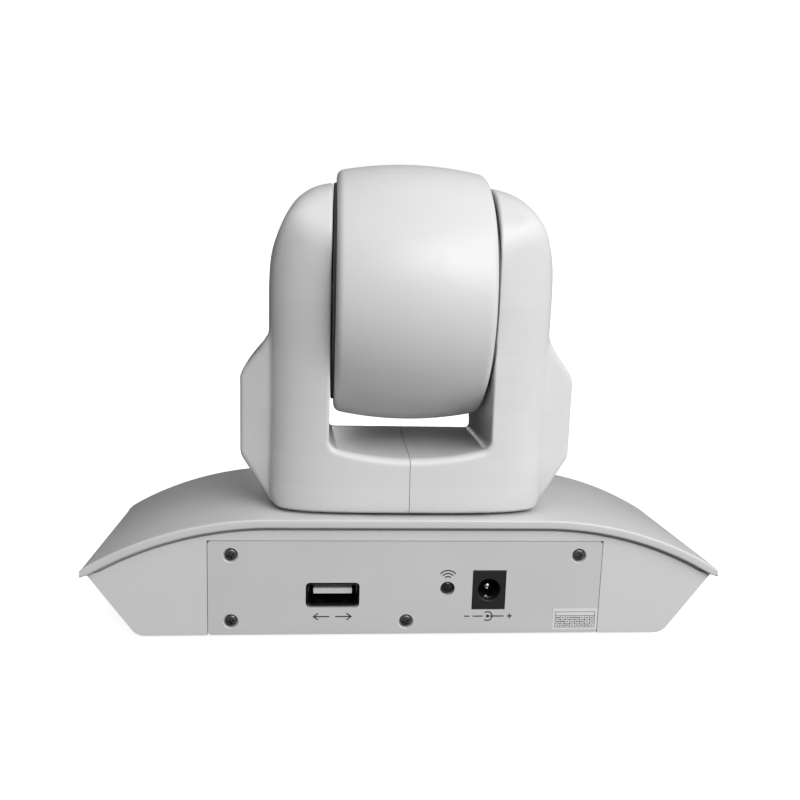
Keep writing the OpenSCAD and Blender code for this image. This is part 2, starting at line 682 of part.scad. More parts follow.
// A thick disc with two bulging faces, on the lens axis from y0 to y1.
module lens_disc(r, bulge, y0, y1) translate([0, (y0 + y1) / 2, 0]) rotate([90, 0, 0])
    rotate_extrude() polygon(concat([[0, -(y1 - y0) / 2 - bulge]],
        [for (i = [1:6]) [r * i / 6, -(y1 - y0) / 2 - bulge * (1 - pow(i / 6, 2))]],
        [for (i = [6:-1:0]) [r * i / 6, (y1 - y0) / 2 + bulge * (1 - pow(i / 6, 2))]]));

module objective_lens() color([0.35, 0.3, 0.55, 0.6]) lift() translate([0, 0, axis_z])
    lens_disc(barrel_in, 0.9, -32.4, -30.4);

module lens_cell(y0, y1) lift() translate([0, 0, axis_z]) difference() {
    bar_y(barrel_in - running, y0, y1);
    bar_y(cell_in, y0 - 1, y1 + 1);
}

module zoom_cell() color([0.1, 0.1, 0.1]) lens_cell(-26, -20);

module zoom_lens() color([0.3, 0.4, 0.6, 0.6]) lift() translate([0, 0, axis_z])
    lens_disc(cell_in - slip, 0.7, -24.4, -21.6);

module focus_cell() color([0.1, 0.1, 0.1]) lens_cell(-4, 1);

module focus_lens() color([0.3, 0.4, 0.6, 0.6]) lift() translate([0, 0, axis_z])
    lens_disc(cell_in - slip, 0.6, -2.8, -0.6);

module head_screws() color("dimgray") lift() translate([0, 0, axis_z])
    for (x = [-11, 11], z = [-11, 11]) translate([x, 13.4, z]) rotate([-90, 0, 0]) screw(1.6, 0.8, 0.9, 3.6);

// ---- drawing -------------------------------------------------------------------------------------

base_shell();
base_cover();
rear_panel();
bottom_plate();
rubber_feet();
front_window();
panel_screws();
bottom_screws();
cover_screws();
usb_shell();
usb_tongue();
usb_contacts();
dc_jack();
dc_pin();
ir_receiver_rear();
ir_receiver_front();
status_led();
blank_label();
main_board();
board_chips();
tripod_insert();
pan_bracket();
pan_bearing();
pan_motor();
pan_pinion();
pan_gear();
pan_hub();
yoke_left_shell();
yoke_right_shell();
yoke_frame();
yoke_screws();
hub_screws();
tilt_motor();
tilt_pinion();
tilt_gear();
tilt_bearings();
tilt_trunnions();
head_rear_shell();
head_front_shell();
side_discs();
camera_bracket();
camera_body();
sensor_board();
image_sensor();
lens_barrel();
lens_bezel();
front_glass();
objective_lens();
zoom_cell();
zoom_lens();
focus_cell();
focus_lens();
head_screws();
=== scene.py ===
import math
from contextlib import contextmanager

import bmesh
import bpy
import numpy as np
from mathutils import Matrix, Vector


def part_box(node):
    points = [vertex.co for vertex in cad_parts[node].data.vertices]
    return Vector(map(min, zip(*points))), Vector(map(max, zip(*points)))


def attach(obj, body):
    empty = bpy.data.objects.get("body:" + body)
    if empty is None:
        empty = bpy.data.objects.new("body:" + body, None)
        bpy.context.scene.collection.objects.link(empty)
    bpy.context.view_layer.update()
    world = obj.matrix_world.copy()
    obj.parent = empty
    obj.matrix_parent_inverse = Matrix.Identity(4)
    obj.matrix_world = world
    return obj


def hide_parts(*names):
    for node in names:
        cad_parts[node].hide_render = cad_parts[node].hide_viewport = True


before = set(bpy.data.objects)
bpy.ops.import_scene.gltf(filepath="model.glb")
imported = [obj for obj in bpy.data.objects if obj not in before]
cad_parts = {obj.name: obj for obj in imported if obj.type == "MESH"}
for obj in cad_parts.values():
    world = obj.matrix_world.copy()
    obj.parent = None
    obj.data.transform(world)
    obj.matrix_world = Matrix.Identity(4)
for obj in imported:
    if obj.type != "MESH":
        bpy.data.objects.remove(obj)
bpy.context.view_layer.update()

# Shapes are written in millimetres, measured from the underside of the base, which stands on rubber feet.
MM = 0.001
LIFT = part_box("base_shell")[0][2] / MM


def node_box(node):
    """A node's lowest and highest corner in millimetres, from the underside of the base."""
    low, high = (np.array(corner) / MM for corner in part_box(node))
    return low - (0, 0, LIFT), high - (0, 0, LIFT)


def middle(node):
    """The middle of a node, across and up."""
    low, high = node_box(node)
    return (low[0] + high[0]) / 2, (low[2] + high[2]) / 2


BODY_LOW, BODY_HIGH = node_box("base_shell")
LID_LOW, LID_HIGH = node_box("base_cover")
PANEL_LOW, PANEL_HIGH = node_box("rear_panel")
YOKE_LOW, YOKE_HIGH = node_box("yoke_right_shell")
DRUM_LOW, DRUM_HIGH = node_box("head_rear_shell")
BEZEL_LOW, BEZEL_HIGH = node_box("lens_bezel")

REAR = BODY_HIGH[1]
TILT_Z = (BEZEL_LOW[2] + BEZEL_HIGH[2]) / 2
TILT_AXIS = (0, 0, TILT_Z)

# The lid: its underside in the middle of the rear edge, the radius of its flanks, and half the
# width of its flat middle.
LID_UNDER = 30.0
LID_THICK = LID_HIGH[2] - LID_UNDER
ARCH_R = 91.0
ARCH_FLAT = 36.0
# The body: the dark line under the lid, half its width at the foot, how far it stops short of the lid's tips.
LID_GAP = 1.0
BODY_FOOT = 73.0
BODY_INSET = 1.6
# The floor of the drum's slot, and the height above which the yoke's corners get no painted shade.
FLOOR_Z = 48.2
UNSHADED_Z = FLOOR_Z + 12


# ---- camera --------------------------------------------------------------------------------------

VIEW_ANGLES = (5.02, 10.54, 1.8)
VIEW_PLACE = (0.0231, 0.25273, 0.10557 + LIFT * MM)
VIEW_LENS = 40.06


def make_camera():
    """The viewpoint: behind the object, a little above it and to one side. Angles are yaw, pitch and roll."""
    yaw, pitch, roll = (math.radians(a) for a in VIEW_ANGLES)
    forward = Vector((-math.sin(yaw) * math.cos(pitch), -math.cos(yaw) * math.cos(pitch), -math.sin(pitch)))
    level = Vector((-math.cos(yaw), math.sin(yaw), 0))
    upright = level.cross(forward)
    right = math.cos(roll) * level + math.sin(roll) * upright
    up = right.cross(forward)
    data = bpy.data.cameras.new("view")
    data.sensor_width = 36.0
    data.lens = VIEW_LENS
    camera = bpy.data.objects.new("view", data)
    turn = Matrix((right, up, -forward)).transposed().to_4x4()
    camera.matrix_world = Matrix.Translation(VIEW_PLACE) @ turn
    bpy.context.collection.objects.link(camera)
    bpy.context.scene.camera = camera


make_camera()


# ---- materials -----------------------------------------------------------------------------------

class Nodes:
    """A small helper for building a node tree."""

    def __init__(self, name):
        self.material = bpy.data.materials.new(name)
        self.material.use_nodes = True
        self.tree = self.material.node_tree
        self.shader = self.tree.nodes["Principled BSDF"]
        self.place = self.add("ShaderNodeTexCoord").outputs["Object"]

    def add(self, kind, inputs=(), **values):
        """A new node, with values for its inputs and its own settings."""
        node = self.tree.nodes.new(kind)
        for key, value in values.items():
            setattr(node, key, value)
        for key, value in dict(inputs).items():
            node.inputs[key].default_value = value
        return node

    def set(self, **values):
        """Values for the shader's inputs, with _ for a space in their names."""
        for key, value in values.items():
            self.shader.inputs[key.replace("_", " ")].default_value = value

    def join(self, source, target):
        self.tree.links.new(source, target)

    def noise(self, scale, detail=3.0, stretch=None, rough=0.5):
        """Noise with its features about 1 / scale metres across."""
        place = self.place
        if stretch:
            mapping = self.add("ShaderNodeMapping", {"Scale": stretch})
            self.join(self.place, mapping.inputs["Vector"])
            place = mapping.outputs["Vector"]
        noise = self.add("ShaderNodeTexNoise", {"Scale": scale, "Detail": detail, "Roughness": rough})
        self.join(place, noise.inputs["Vector"])
        return noise.outputs["Fac"]

    def ranged(self, source, start, end, low=0.0, high=1.0):
        """A signal's stretch from start to end, spread from low to high."""
        ranged = self.add("ShaderNodeMapRange",
                          {"From Min": start, "From Max": end, "To Min": low, "To Max": high})
        self.join(source, ranged.inputs["Value"])
        return ranged.outputs["Result"]

    def spread(self, source, low, high):
        """The middle of a 0 to 1 signal, spread from low to high."""
        return self.ranged(source, 0.3, 0.7, low, high)

    def mix(self, fac, dark, light):
        mix = self.add("ShaderNodeMix", data_type="RGBA")
        for socket, value in ((mix.inputs[6], dark), (mix.inputs[7], light)):
            if isinstance(value, tuple):
                socket.default_value = (*value, 1)
            else:
                self.join(value, socket)
        self.join(fac, mix.inputs[0])
        return mix.outputs[2]

    def bump(self, height, strength, distance, under=None):
        bump = self.add("ShaderNodeBump", {"Strength": strength, "Distance": distance})
        self.join(height, bump.inputs["Height"])
        if under:
            self.join(under, bump.inputs["Normal"])
        return bump.outputs["Normal"]

    def crevice(self, reach):
        """0 in corners and seams, 1 on open surfaces."""
        return self.add("ShaderNodeAmbientOcclusion", {"Distance": reach}, samples=4).outputs["AO"]

    def above(self, height):
        """0 some way below a height in millimetres, 1 above it."""
        parts = self.add("ShaderNodeSeparateXYZ")
        self.join(self.place, parts.inputs[0])
        return self.ranged(parts.outputs["Z"], (height + LIFT - 8) * MM, (height + LIFT) * MM)

    def greater(self, a, b):
        node = self.add("ShaderNodeMath", operation="MAXIMUM")
        self.join(a, node.inputs[0])
        self.join(b, node.inputs[1])
        return node.outputs[0]


def shaded(colour, factor):
    return tuple(min(1.0, c * factor) for c in colour)


def moulded(name, colour, rough, grain=2600, depth=0.000012, crevice_dust_and_shade=0.9, coat=0.0, reach=0.004,
            unshaded_above=None):
    """Injection-moulded plastic: spark grain, flow mottling, and corners and seams scaled by an occlusion
    node below an optional height: darker where the factor is below 1 (painted shade), lighter where it is
    above 1 (dust on black parts).
    """
    n = Nodes(name)
    mottle = n.spread(n.noise(55, 4), 0, 1)
    fine = n.spread(n.noise(900, 2), 0, 1)
    base = n.mix(mottle, shaded(colour, 0.975), shaded(colour, 1.015))
    # Painted shade: an occlusion node darkens corners and seams where the factor is below 1; above 1 it
    # lightens them as dust.
    if crevice_dust_and_shade != 1.0:
        open_part = n.crevice(reach)
        if unshaded_above:
            open_part = n.greater(open_part, n.above(unshaded_above))
        base = n.mix(open_part, shaded(colour, crevice_dust_and_shade), base)
    n.join(base, n.shader.inputs["Base Color"])
    n.join(n.spread(n.noise(420, 3), rough - 0.035, rough + 0.045), n.shader.inputs["Roughness"])
    grain_normal = n.bump(n.noise(grain, 2, rough=0.6), 0.35, depth)
    n.join(n.bump(fine, 0.12, depth * 2, grain_normal), n.shader.inputs["Normal"])
    n.set(IOR=1.49, Coat_Weight=coat, Coat_Roughness=0.18)
    return n.material


def metal(name, colour, rough, stretch=(1, 1, 1), scale=900, depth=0.000006, scratches=0.12):
    """Turned, rolled or plated metal with machining lines and fine scratches."""
    n = Nodes(name)
    lines = n.noise(scale, 4, stretch=stretch)
    patch = n.spread(n.noise(130, 4), 0, 1)
    n.join(n.mix(patch, shaded(colour, 0.86), shaded(colour, 1.06)), n.shader.inputs["Base Color"])
    n.join(n.spread(lines, rough - scratches / 2, rough + scratches), n.shader.inputs["Roughness"])
    n.join(n.bump(lines, 0.4, depth), n.shader.inputs["Normal"])
    n.set(Metallic=1.0)
    return n.material


def coated_glass(name, tint, rough=0.02):
    """A lens element with a faint coloured coating and dust specks."""
    n = Nodes(name)
    specks = n.spread(n.noise(2200, 1), 0, 1)
    n.join(n.mix(specks, shaded(tint, 0.94), tint), n.shader.inputs["Base Color"])
    n.join(n.spread(n.noise(700, 2), rough, rough + 0.03), n.shader.inputs["Roughness"])
    n.set(Transmission_Weight=0.96, IOR=1.6, Coat_Weight=1.0, Coat_Roughness=0.02,
          Coat_Tint=(0.88, 0.84, 1.0, 1))
    return n.material


def circuit_board(name):
    """Green solder mask over copper tracks and pads."""
    n = Nodes(name)
    brick = n.add("ShaderNodeTexBrick", {
        "Scale": 260, "Mortar Size": 0.012, "Color1": (0.010, 0.095, 0.040, 1),
        "Color2": (0.014, 0.120, 0.050, 1), "Mortar": (0.030, 0.220, 0.090, 1)})
    n.join(n.place, brick.inputs["Vector"])
    n.join(n.mix(n.spread(n.noise(300), 0, 0.5), (0.008, 0.08, 0.035), brick.outputs["Color"]),
           n.shader.inputs["Base Color"])
    n.join(n.spread(n.noise(800), 0.25, 0.4), n.shader.inputs["Roughness"])
    n.join(n.bump(brick.outputs["Fac"], 0.3, 0.00003), n.shader.inputs["Normal"])
    return n.material


def lamp_plastic(name, colour):
    """Clear tinted lamp body that glows softly."""
    n = Nodes(name)
    n.join(n.mix(n.spread(n.noise(900), 0, 1), shaded(colour, 0.8), colour), n.shader.inputs["Base Color"])
    n.join(n.spread(n.noise(600), 0.15, 0.25), n.shader.inputs["Roughness"])
    n.set(Emission_Color=(*colour, 1), Emission_Strength=0.6)
    return n.material


# Crevice factors below 1 paint shade into corners and seams; factors above 1 add dust to black parts.
CASING = moulded("casing_plastic", (0.78, 0.78, 0.785), 0.36)
# Painted shade: the yoke's slot, gaps and corners are strongly darkened by an occlusion node below a height
# some way above the slot floor.
YOKE_CASING = moulded("yoke_plastic", (0.80, 0.80, 0.805), 0.36, crevice_dust_and_shade=0.35, reach=0.016,
                      unshaded_above=UNSHADED_Z)
LID = moulded("lid_plastic", (0.74, 0.74, 0.75), 0.34)
PANEL = moulded("panel_plastic", (0.70, 0.70, 0.71), 0.42, grain=3400)
DRUM = moulded("drum_plastic", (0.81, 0.81, 0.815), 0.36, depth=0.000006, crevice_dust_and_shade=1.0)
JACK = moulded("jack_plastic", (0.013, 0.013, 0.014), 0.5, crevice_dust_and_shade=0.6)
BLACK = moulded("black_plastic", (0.018, 0.018, 0.019), 0.38, crevice_dust_and_shade=1.6)
# Dark felt for the rings in the gaps beside the drum: partly painted shade, standing in for the shade in
# those gaps.
GAP_SHADE_FELT = moulded("side_felt", (0.11, 0.11, 0.112), 0.85, grain=1500, depth=0.00004, crevice_dust_and_shade=0.7)
EYE_PLASTIC = moulded("eye_plastic", (0.010, 0.010, 0.011), 0.14, depth=0.000002, coat=0.4)
DARK_WINDOW = moulded("window_acrylic", (0.020, 0.010, 0.016), 0.08, depth=0.000002, coat=0.6)
NYLON = moulded("gear_nylon", (0.78, 0.77, 0.72), 0.45)
TONGUE = moulded("tongue_plastic", (0.80, 0.80, 0.79), 0.35)
PAPER = moulded("label_paper", (0.86, 0.86, 0.86), 0.6, grain=5200, depth=0.00002)
INK = moulded("print_ink", (0.045, 0.045, 0.05), 0.5)
RUBBER = moulded("foot_rubber", (0.022, 0.022, 0.022), 0.75, grain=1800, depth=0.00003, crevice_dust_and_shade=2.2)
CHIP = moulded("chip_resin", (0.022, 0.022, 0.024), 0.55, grain=4200)
STEEL = metal("plated_steel", (0.60, 0.60, 0.62), 0.32, stretch=(1, 14, 1))
BRIGHT = metal("polished_steel", (0.72, 0.72, 0.74), 0.16, stretch=(12, 1, 1))
BRASS = metal("turned_brass", (0.72, 0.52, 0.24), 0.28, stretch=(1, 1, 10))
GOLD = metal("contact_gold", (0.78, 0.58, 0.28), 0.22, stretch=(1, 12, 1))
OXIDE = metal("oxide_steel", (0.22, 0.22, 0.225), 0.20, scale=1800, depth=0.00002, scratches=0.2)
# Near-black steel for the data socket's shell: painted shade for the shell seen in shadow in its opening.
DARKENED_SOCKET_STEEL = metal("socket_steel_painted_shade", (0.045, 0.045, 0.047), 0.34, stretch=(1, 10, 1))
ANODISED = metal("anodised_barrel", (0.022, 0.022, 0.024), 0.34, stretch=(1, 10, 1))
GLASS = coated_glass("lens_glass", (0.40, 0.38, 0.50))
SENSOR = coated_glass("sensor_glass", (0.22, 0.18, 0.26), 0.05)
BOARD = circuit_board("circuit_board")
LAMP = lamp_plastic("lamp_plastic", (0.10, 0.42, 0.90))


# ---- shape tools ---------------------------------------------------------------------------------

def mesh_from(name, points, faces):
    mesh = bpy.data.meshes.new(name)
    mesh.from_pydata((np.asarray(points, float) + (0, 0, LIFT)) * MM, [], [list(map(int, f)) for f in faces])
    mesh.update()
    return mesh


@contextmanager
def edited(mesh):
    """A mesh as a bmesh, written back when the work on it is done."""
    bm = bmesh.new()
    bm.from_mesh(mesh)
    yield bm
    bm.to_mesh(mesh)
    bm.free()


def add_object(name, mesh):
    obj = bpy.data.objects.new(name, mesh)
    bpy.context.collection.objects.link(obj)
    return obj


def baked(obj):
    """Apply an object's modifiers to its mesh."""
    evaluated = obj.evaluated_get(bpy.context.evaluated_depsgraph_get())
    mesh = bpy.data.meshes.new_from_object(evaluated)
    obj.modifiers.clear()
    obj.data = mesh


def cut(obj, cutters):
    """Take the cutters away from an object."""
    for cutter in cutters:
        modifier = obj.modifiers.new("cut", "BOOLEAN")
        modifier.operation = "DIFFERENCE"
        modifier.solver = "EXACT"
        modifier.object = cutter
    baked(obj)
    for cutter in cutters:
        bpy.data.objects.remove(cutter)


def outward(obj):
    """Turn every face outward."""
    with edited(obj.data) as bm:
        bmesh.ops.recalc_face_normals(bm, faces=list(bm.faces))
    return obj


def soften(obj, width, segments=3, angle=30):
    """Round every edge sharper than an angle, width in millimetres."""
    modifier = obj.modifiers.new("soften", "BEVEL")
    modifier.width = width * MM
    modifier.segments = segments
    modifier.limit_method = "ANGLE"
    modifier.angle_limit = math.radians(angle)
    modifier.harden_normals = True
    modifier.use_clamp_overlap = True
    obj.data.shade_smooth()
    baked(obj)


def finish_piece(obj, material, body, replaces=(), sharp=35):
    """Give a piece its material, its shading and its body."""
    obj.data.materials.clear()
    obj.data.materials.append(material)
    if sharp is not None:
        obj.data.shade_smooth()
        obj.data.set_sharp_from_angle(angle=math.radians(sharp))
    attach(obj, body)
    if replaces:
        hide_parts(*replaces)
    return obj


def arc(centre, rx, ry, start, end, steps):
    angles = np.radians(np.linspace(start, end, steps + 1))
    return [(centre[0] + rx * math.cos(a), centre[1] + ry * math.sin(a)) for a in angles]


def mirrored(points):
    """The same outline on both sides of the middle."""
    return list(points) + [(-u, v) for u, v in reversed(points)]


def round_box_outline(w, h, r, steps=6):
    """A rounded rectangle about the origin, anticlockwise."""
    corners = ((w / 2 - r, h / 2 - r, 0), (-w / 2 + r, h / 2 - r, 90), (-w / 2 + r, -h / 2 + r, 180),
               (w / 2 - r, -h / 2 + r, 270))
    return [p for u, v, a in corners for p in arc((u, v), r, r, a, a + 90, steps)]


def placed(place, outline):
    """An outline moved to a place."""
    return [(place[0] + u, place[1] + v) for u, v in outline]


def prism(name, outline, y0, y1, holes=()):
    """An outline in X and Z, with holes in it, drawn out along Y."""
    mesh = bpy.data.meshes.new(name)
    with edited(mesh) as bm:
        edges = []
        for loop in (outline, *holes):
            ring = [bm.verts.new((u * MM, y0 * MM, (v + LIFT) * MM)) for u, v in loop]
            edges += [bm.edges.new((a, b)) for a, b in zip(ring, ring[1:] + ring[:1])]
        if holes:
            bmesh.ops.triangle_fill(bm, edges=edges, use_beauty=True, use_dissolve=False)
        else:
            bm.faces.new([e.verts[0] for e in edges])
        drawn = bmesh.ops.extrude_face_region(bm, geom=list(bm.faces))
        moved = [g for g in drawn["geom"] if isinstance(g, bmesh.types.BMVert)]
        bmesh.ops.translate(bm, verts=moved, vec=(0, (y1 - y0) * MM, 0))
        bmesh.ops.recalc_face_normals(bm, faces=list(bm.faces))
    return add_object(name, mesh)


def slab(name, low, high):
    """A block from its lowest to its highest corner."""
    (x0, y0, z0), (x1, y1, z1) = low, high
    return prism(name, [(x0, z0), (x1, z0), (x1, z1), (x0, z1)], y0, y1)


TURNS = {"x": Matrix.Rotation(math.pi / 2, 4, "Y"), "y": Matrix.Rotation(-math.pi / 2, 4, "X"),
         "z": Matrix.Identity(4), "-z": Matrix.Rotation(math.pi, 4, "X")}


def turned(name, profile, axis, centre, steps=64):
    """A profile of radius and height, turned about an axis through a centre."""
    points, faces = [], []
    for radius, height in profile:
        for i in range(steps):
            a = 2 * math.pi * i / steps
            points.append(TURNS[axis] @ Vector((radius * math.cos(a), radius * math.sin(a), height)))
    for k in range(len(profile) - 1):
        for i in range(steps):
            j = (i + 1) % steps
            faces.append((k * steps + i, k * steps + j, (k + 1) * steps + j, (k + 1) * steps + i))
    mesh = mesh_from(name, [np.array(p) + centre for p in points], faces)
    with edited(mesh) as bm:
        bmesh.ops.remove_doubles(bm, verts=bm.verts, dist=1e-7)
        open_rings = [e for e in bm.edges if e.is_boundary]
        if open_rings:
            bmesh.ops.holes_fill(bm, edges=open_rings, sides=0)
        bmesh.ops.dissolve_degenerate(bm, edges=bm.edges, dist=1e-8)
        bmesh.ops.recalc_face_normals(bm, faces=list(bm.faces))
    return add_object(name, mesh)


def joined(name, objects):
    """Several objects as one piece."""
    mesh = bpy.data.meshes.new(name)
    with edited(mesh) as bm:
        for obj in objects:
            bm.from_mesh(obj.data)
            bpy.data.objects.remove(obj)
    return add_object(name, mesh)


# ---- smooth bodies from distance fields ----------------------------------------------------------

def soft_max(a, b, k):
    """The greater of two distances, with the crease between them rounded over k."""
    h = np.maximum(k - np.abs(a - b), 0) / k
    return np.maximum(a, b) + h * h * k * 0.25


def soft_min(a, b, k):
    return -soft_max(-a, -b, k)


def outline_distance(outline, u, v):
    """Signed distance from points to a closed outline, negative inside."""
    u, v = np.broadcast_arrays(u, v)
    best = np.full(u.shape, np.inf)
    inside = np.zeros(u.shape, bool)
    for (u0, v0), (u1, v1) in zip(outline, outline[1:] + outline[:1]):
        du, dv = u1 - u0, v1 - v0
        t = np.clip(((u - u0) * du + (v - v0) * dv) / max(du * du + dv * dv, 1e-12), 0, 1)
        best = np.minimum(best, (u - u0 - t * du) ** 2 + (v - v0 - t * dv) ** 2)
        if v0 != v1:
            inside ^= ((v0 > v) != (v1 > v)) & (u < (v - v0) * du / (v1 - v0) + u0)
    return np.where(inside, -1, 1) * np.sqrt(best)


CORNERS = np.array([(i, j, k) for i in (0, 1) for j in (0, 1) for k in (0, 1)])
CELL_EDGES = [(a, b) for a in range(8) for b in range(a + 1, 8)
              if np.abs(CORNERS[a] - CORNERS[b]).sum() == 1]


def field_surface(field, low, high, step):
    """Points and four-sided faces where a distance field crosses zero."""
    axes = [np.arange(low[i] - step, high[i] + 2 * step, step) for i in range(3)]
    value = field(axes[0][:, None, None], axes[1][None, :, None], axes[2][None, None, :])
    value = np.ascontiguousarray(np.broadcast_to(value, [len(a) for a in axes]))
    solid = value < 0
    wide, deep, tall = (size - 1 for size in solid.shape)
    count = sum(solid[i:wide + i, j:deep + j, k:tall + k].astype(np.int8) for i, j, k in CORNERS)
    cells = np.argwhere((count > 0) & (count < 8))
    corner = np.stack([value[tuple((cells + c).T)] for c in CORNERS], axis=1)
    total, crossings = np.zeros(cells.shape), np.zeros(len(cells))
    for a, b in CELL_EDGES:
        va, vb = corner[:, a], corner[:, b]
        hit = (va < 0) != (vb < 0)
        t = np.where(hit, va / np.where(hit, va - vb, 1), 0)[:, None]
        total += np.where(hit[:, None], CORNERS[a] + t * (CORNERS[b] - CORNERS[a]), 0)
        crossings += hit
    points = np.array([a[0] for a in axes]) + step * (cells + total / crossings[:, None])
    ids = np.full(count.shape, -1, np.int64)
    ids[tuple(cells.T)] = np.arange(len(cells))
    faces = []
    for axis in range(3):
        u, v = [a for a in range(3) if a != axis]
        first = [slice(1, -1)] * 3
        first[axis] = slice(0, -1)
        second = list(first)
        second[axis] = slice(1, None)
        here, there = solid[tuple(first)], solid[tuple(second)]
        at = np.argwhere(here != there)
        leaving = here[tuple(at.T)]
        at[:, u] += 1
        at[:, v] += 1
        back_u, back_v = np.eye(3, dtype=int)[u], np.eye(3, dtype=int)[v]
        steps = (back_u + back_v, back_v, 0 * back_u, back_u)
        quad = np.stack([ids[tuple((at - s).T)] for s in steps], axis=1)
        kept = leaving if axis != 1 else ~leaving
        quad[~kept] = quad[~kept][:, ::-1]
        faces.append(quad)
    return points, np.concatenate(faces)


def field_slope(field, points, reach=0.02):
    """The field's gradient at points."""
    slope = np.empty(points.shape)
    for axis in range(3):
        step = np.zeros(3)
        step[axis] = reach
        ahead, behind = points + step, points - step
        slope[:, axis] = (field(*ahead.T) - field(*behind.T)) / (2 * reach)
    return slope


def field_mesh(name, field, low, high, step):
    """A mesh whose points lie on the field's zero surface."""
    points, faces = field_surface(field, low, high, step)
    for _ in range(3):
        slope = field_slope(field, points)
        size = np.maximum((slope ** 2).sum(1), 1e-6)
        move = (field(*points.T) / size)[:, None] * slope
        points -= np.clip(move, -step / 2, step / 2)
    return mesh_from(name, points, faces)


def bisected(bm, point, normal, clear=False):
    """Cut a bmesh along a plane, clear what lies beyond it if asked, and return what lies on the cut."""
    everything = list(bm.verts) + list(bm.edges) + list(bm.faces)
    return bmesh.ops.bisect_plane(bm, geom=everything, dist=1e-8, plane_co=point, plane_no=normal,
                                  clear_outer=clear)["geom_cut"]


def slice_mesh(source, name, point, normal):
    """The part of a mesh behind a plane, closed where it is cut."""
    mesh = source.copy()
    mesh.name = name
    with edited(mesh) as bm:
        found = bisected(bm, Vector(point) * MM, normal, True)
        rim = [e for e in found if isinstance(e, bmesh.types.BMEdge)]
        bmesh.ops.triangle_fill(bm, edges=rim, use_beauty=True, use_dissolve=False, normal=normal)
    return mesh


def smooth_normals(mesh, field, flat_axis, flat_at):
    """Shade a sliced mesh by its field, and its cut face flat."""
    points = np.empty(len(mesh.vertices) * 3)
    mesh.vertices.foreach_get("co", points)
    points = points.reshape(-1, 3) / MM - (0, 0, LIFT)
    slope = field_slope(field, points, 0.05)
    slope /= np.maximum(np.linalg.norm(slope, axis=1), 1e-9)[:, None]
    corners = np.empty(len(mesh.loops), int)
    mesh.loops.foreach_get("vertex_index", corners)
    normals = slope[corners]
    faces = np.empty(len(mesh.polygons) * 3)
    mesh.polygons.foreach_get("normal", faces)
    faces = faces.reshape(-1, 3)
    sizes = np.empty(len(mesh.polygons), int)
    mesh.polygons.foreach_get("loop_total", sizes)
    of_face = np.repeat(faces, sizes, axis=0)
    on_cut = np.abs(points[:, flat_axis] - flat_at)[corners] < 1e-3
    cap = on_cut & (np.abs(of_face[:, flat_axis]) > 0.99)
    lost = (normals * of_face).sum(1) < 0.3
    normals[cap | lost] = of_face[cap | lost]
    mesh.shade_smooth()
    mesh.normals_split_custom_set(normals.tolist())


# ---- base ----------------------------------------------------------------------------------------

def under_lid(x):
    """Height of the lid's underside."""
    out = max(abs(x) - ARCH_FLAT, 0)
    return LID_UNDER - ARCH_R + math.sqrt(ARCH_R ** 2 - out ** 2)


def lid_fall(y):
    """How much the lid's underside rises or falls at a depth, measured from its rear edge."""
    crown_slope, crown_bend = 0.0434, 0.00134
    d = LID_HIGH[1] - y
    return crown_slope * d - crown_bend * d * d


def lid_points():
    """Stations along half of the lid's underside, from its middle to its tip: place and outward normal."""
    steps = 40
    stations = [(x, LID_UNDER, 0.0, 1.0) for x in (0, 12, 21.2, 28, ARCH_FLAT)]
    end = math.asin((LID_HIGH[0] - ARCH_FLAT) / ARCH_R)
    for i in range(1, steps + 1):
        across, up = math.sin(end * i / steps), math.cos(end * i / steps)
        stations.append((ARCH_FLAT + ARCH_R * across, LID_UNDER - ARCH_R + ARCH_R * up, across, up))
    return stations


def lid_ring(station, is_end):
    """The lid's section at a station; its tips are blunt, with level undersides."""
    tip, front, rear = LID_HIGH[0], LID_LOW[1], LID_HIGH[1]
    edge_r, corner_r, tip_r, under_r = 0.5, 7.0, 0.5, 0.4
    tip_lean, tip_lift, level = 0.1, 0.8, 2.2
    x, z, nx, nz = station
    past = max(abs(x) - (tip - corner_r), 0)
    y0 = front + corner_r - math.sqrt(max(corner_r ** 2 - past ** 2, 0.3))
    tip_rise = tip_lift * max(abs(x) - tip + level, 0) / level
    ring = []
    for u, v in round_box_outline(rear - y0, LID_THICK, edge_r, 5):
        height = v + LID_THICK / 2
        y = u + (rear + y0) / 2
        high = max(height - LID_THICK + tip_r, 0) / tip_r
        low = max(under_r - height, 0) / under_r
        limit = tip - tip_r * (1 - math.sqrt(max(1 - high * high, 0))) - under_r * low * low
        limit -= tip_lean * height / LID_THICK
        rise = tip_rise * (1 - height / LID_THICK)
        px = math.copysign(tip, x) if is_end else x + nx * height
        ring.append((max(-limit, min(limit, px)), y, z + nz * height + rise + lid_fall(y)))
    return ring


def lofted(name, rings):
    """A closed solid through rings of points."""
    count = len(rings[0])
    faces = []
    for start in range(0, (len(rings) - 1) * count, count):
        for i in range(count):
            j = (i + 1) % count
            faces.append((start + i, start + j, start + count + j, start + count + i))
    faces.append(tuple(reversed(range(count))))
    faces.append(tuple(range((len(rings) - 1) * count, len(rings) * count)))
    return add_object(name, mesh_from(name, [point for ring in rings for point in ring], faces))


def make_lid():
    """The arched lid: a sheet with rounded edges, lofted from tip to tip."""
    half = lid_points()
    stations = [(-x, z, -nx, nz) for x, z, nx, nz in reversed(half[1:])] + half
    ends = (0, len(stations) - 1)
    obj = outward(lofted("arched_lid", [lid_ring(s, i in ends) for i, s in enumerate(stations)]))
    opening = turned("opening", [(21, 20), (21, 40)], "z", (0, 0, 0), 96)
    cut(obj, [opening])
    soften(obj, 0.3, 2, 60)
    finish_piece(obj, LID, "base", ["base_cover"], 40)


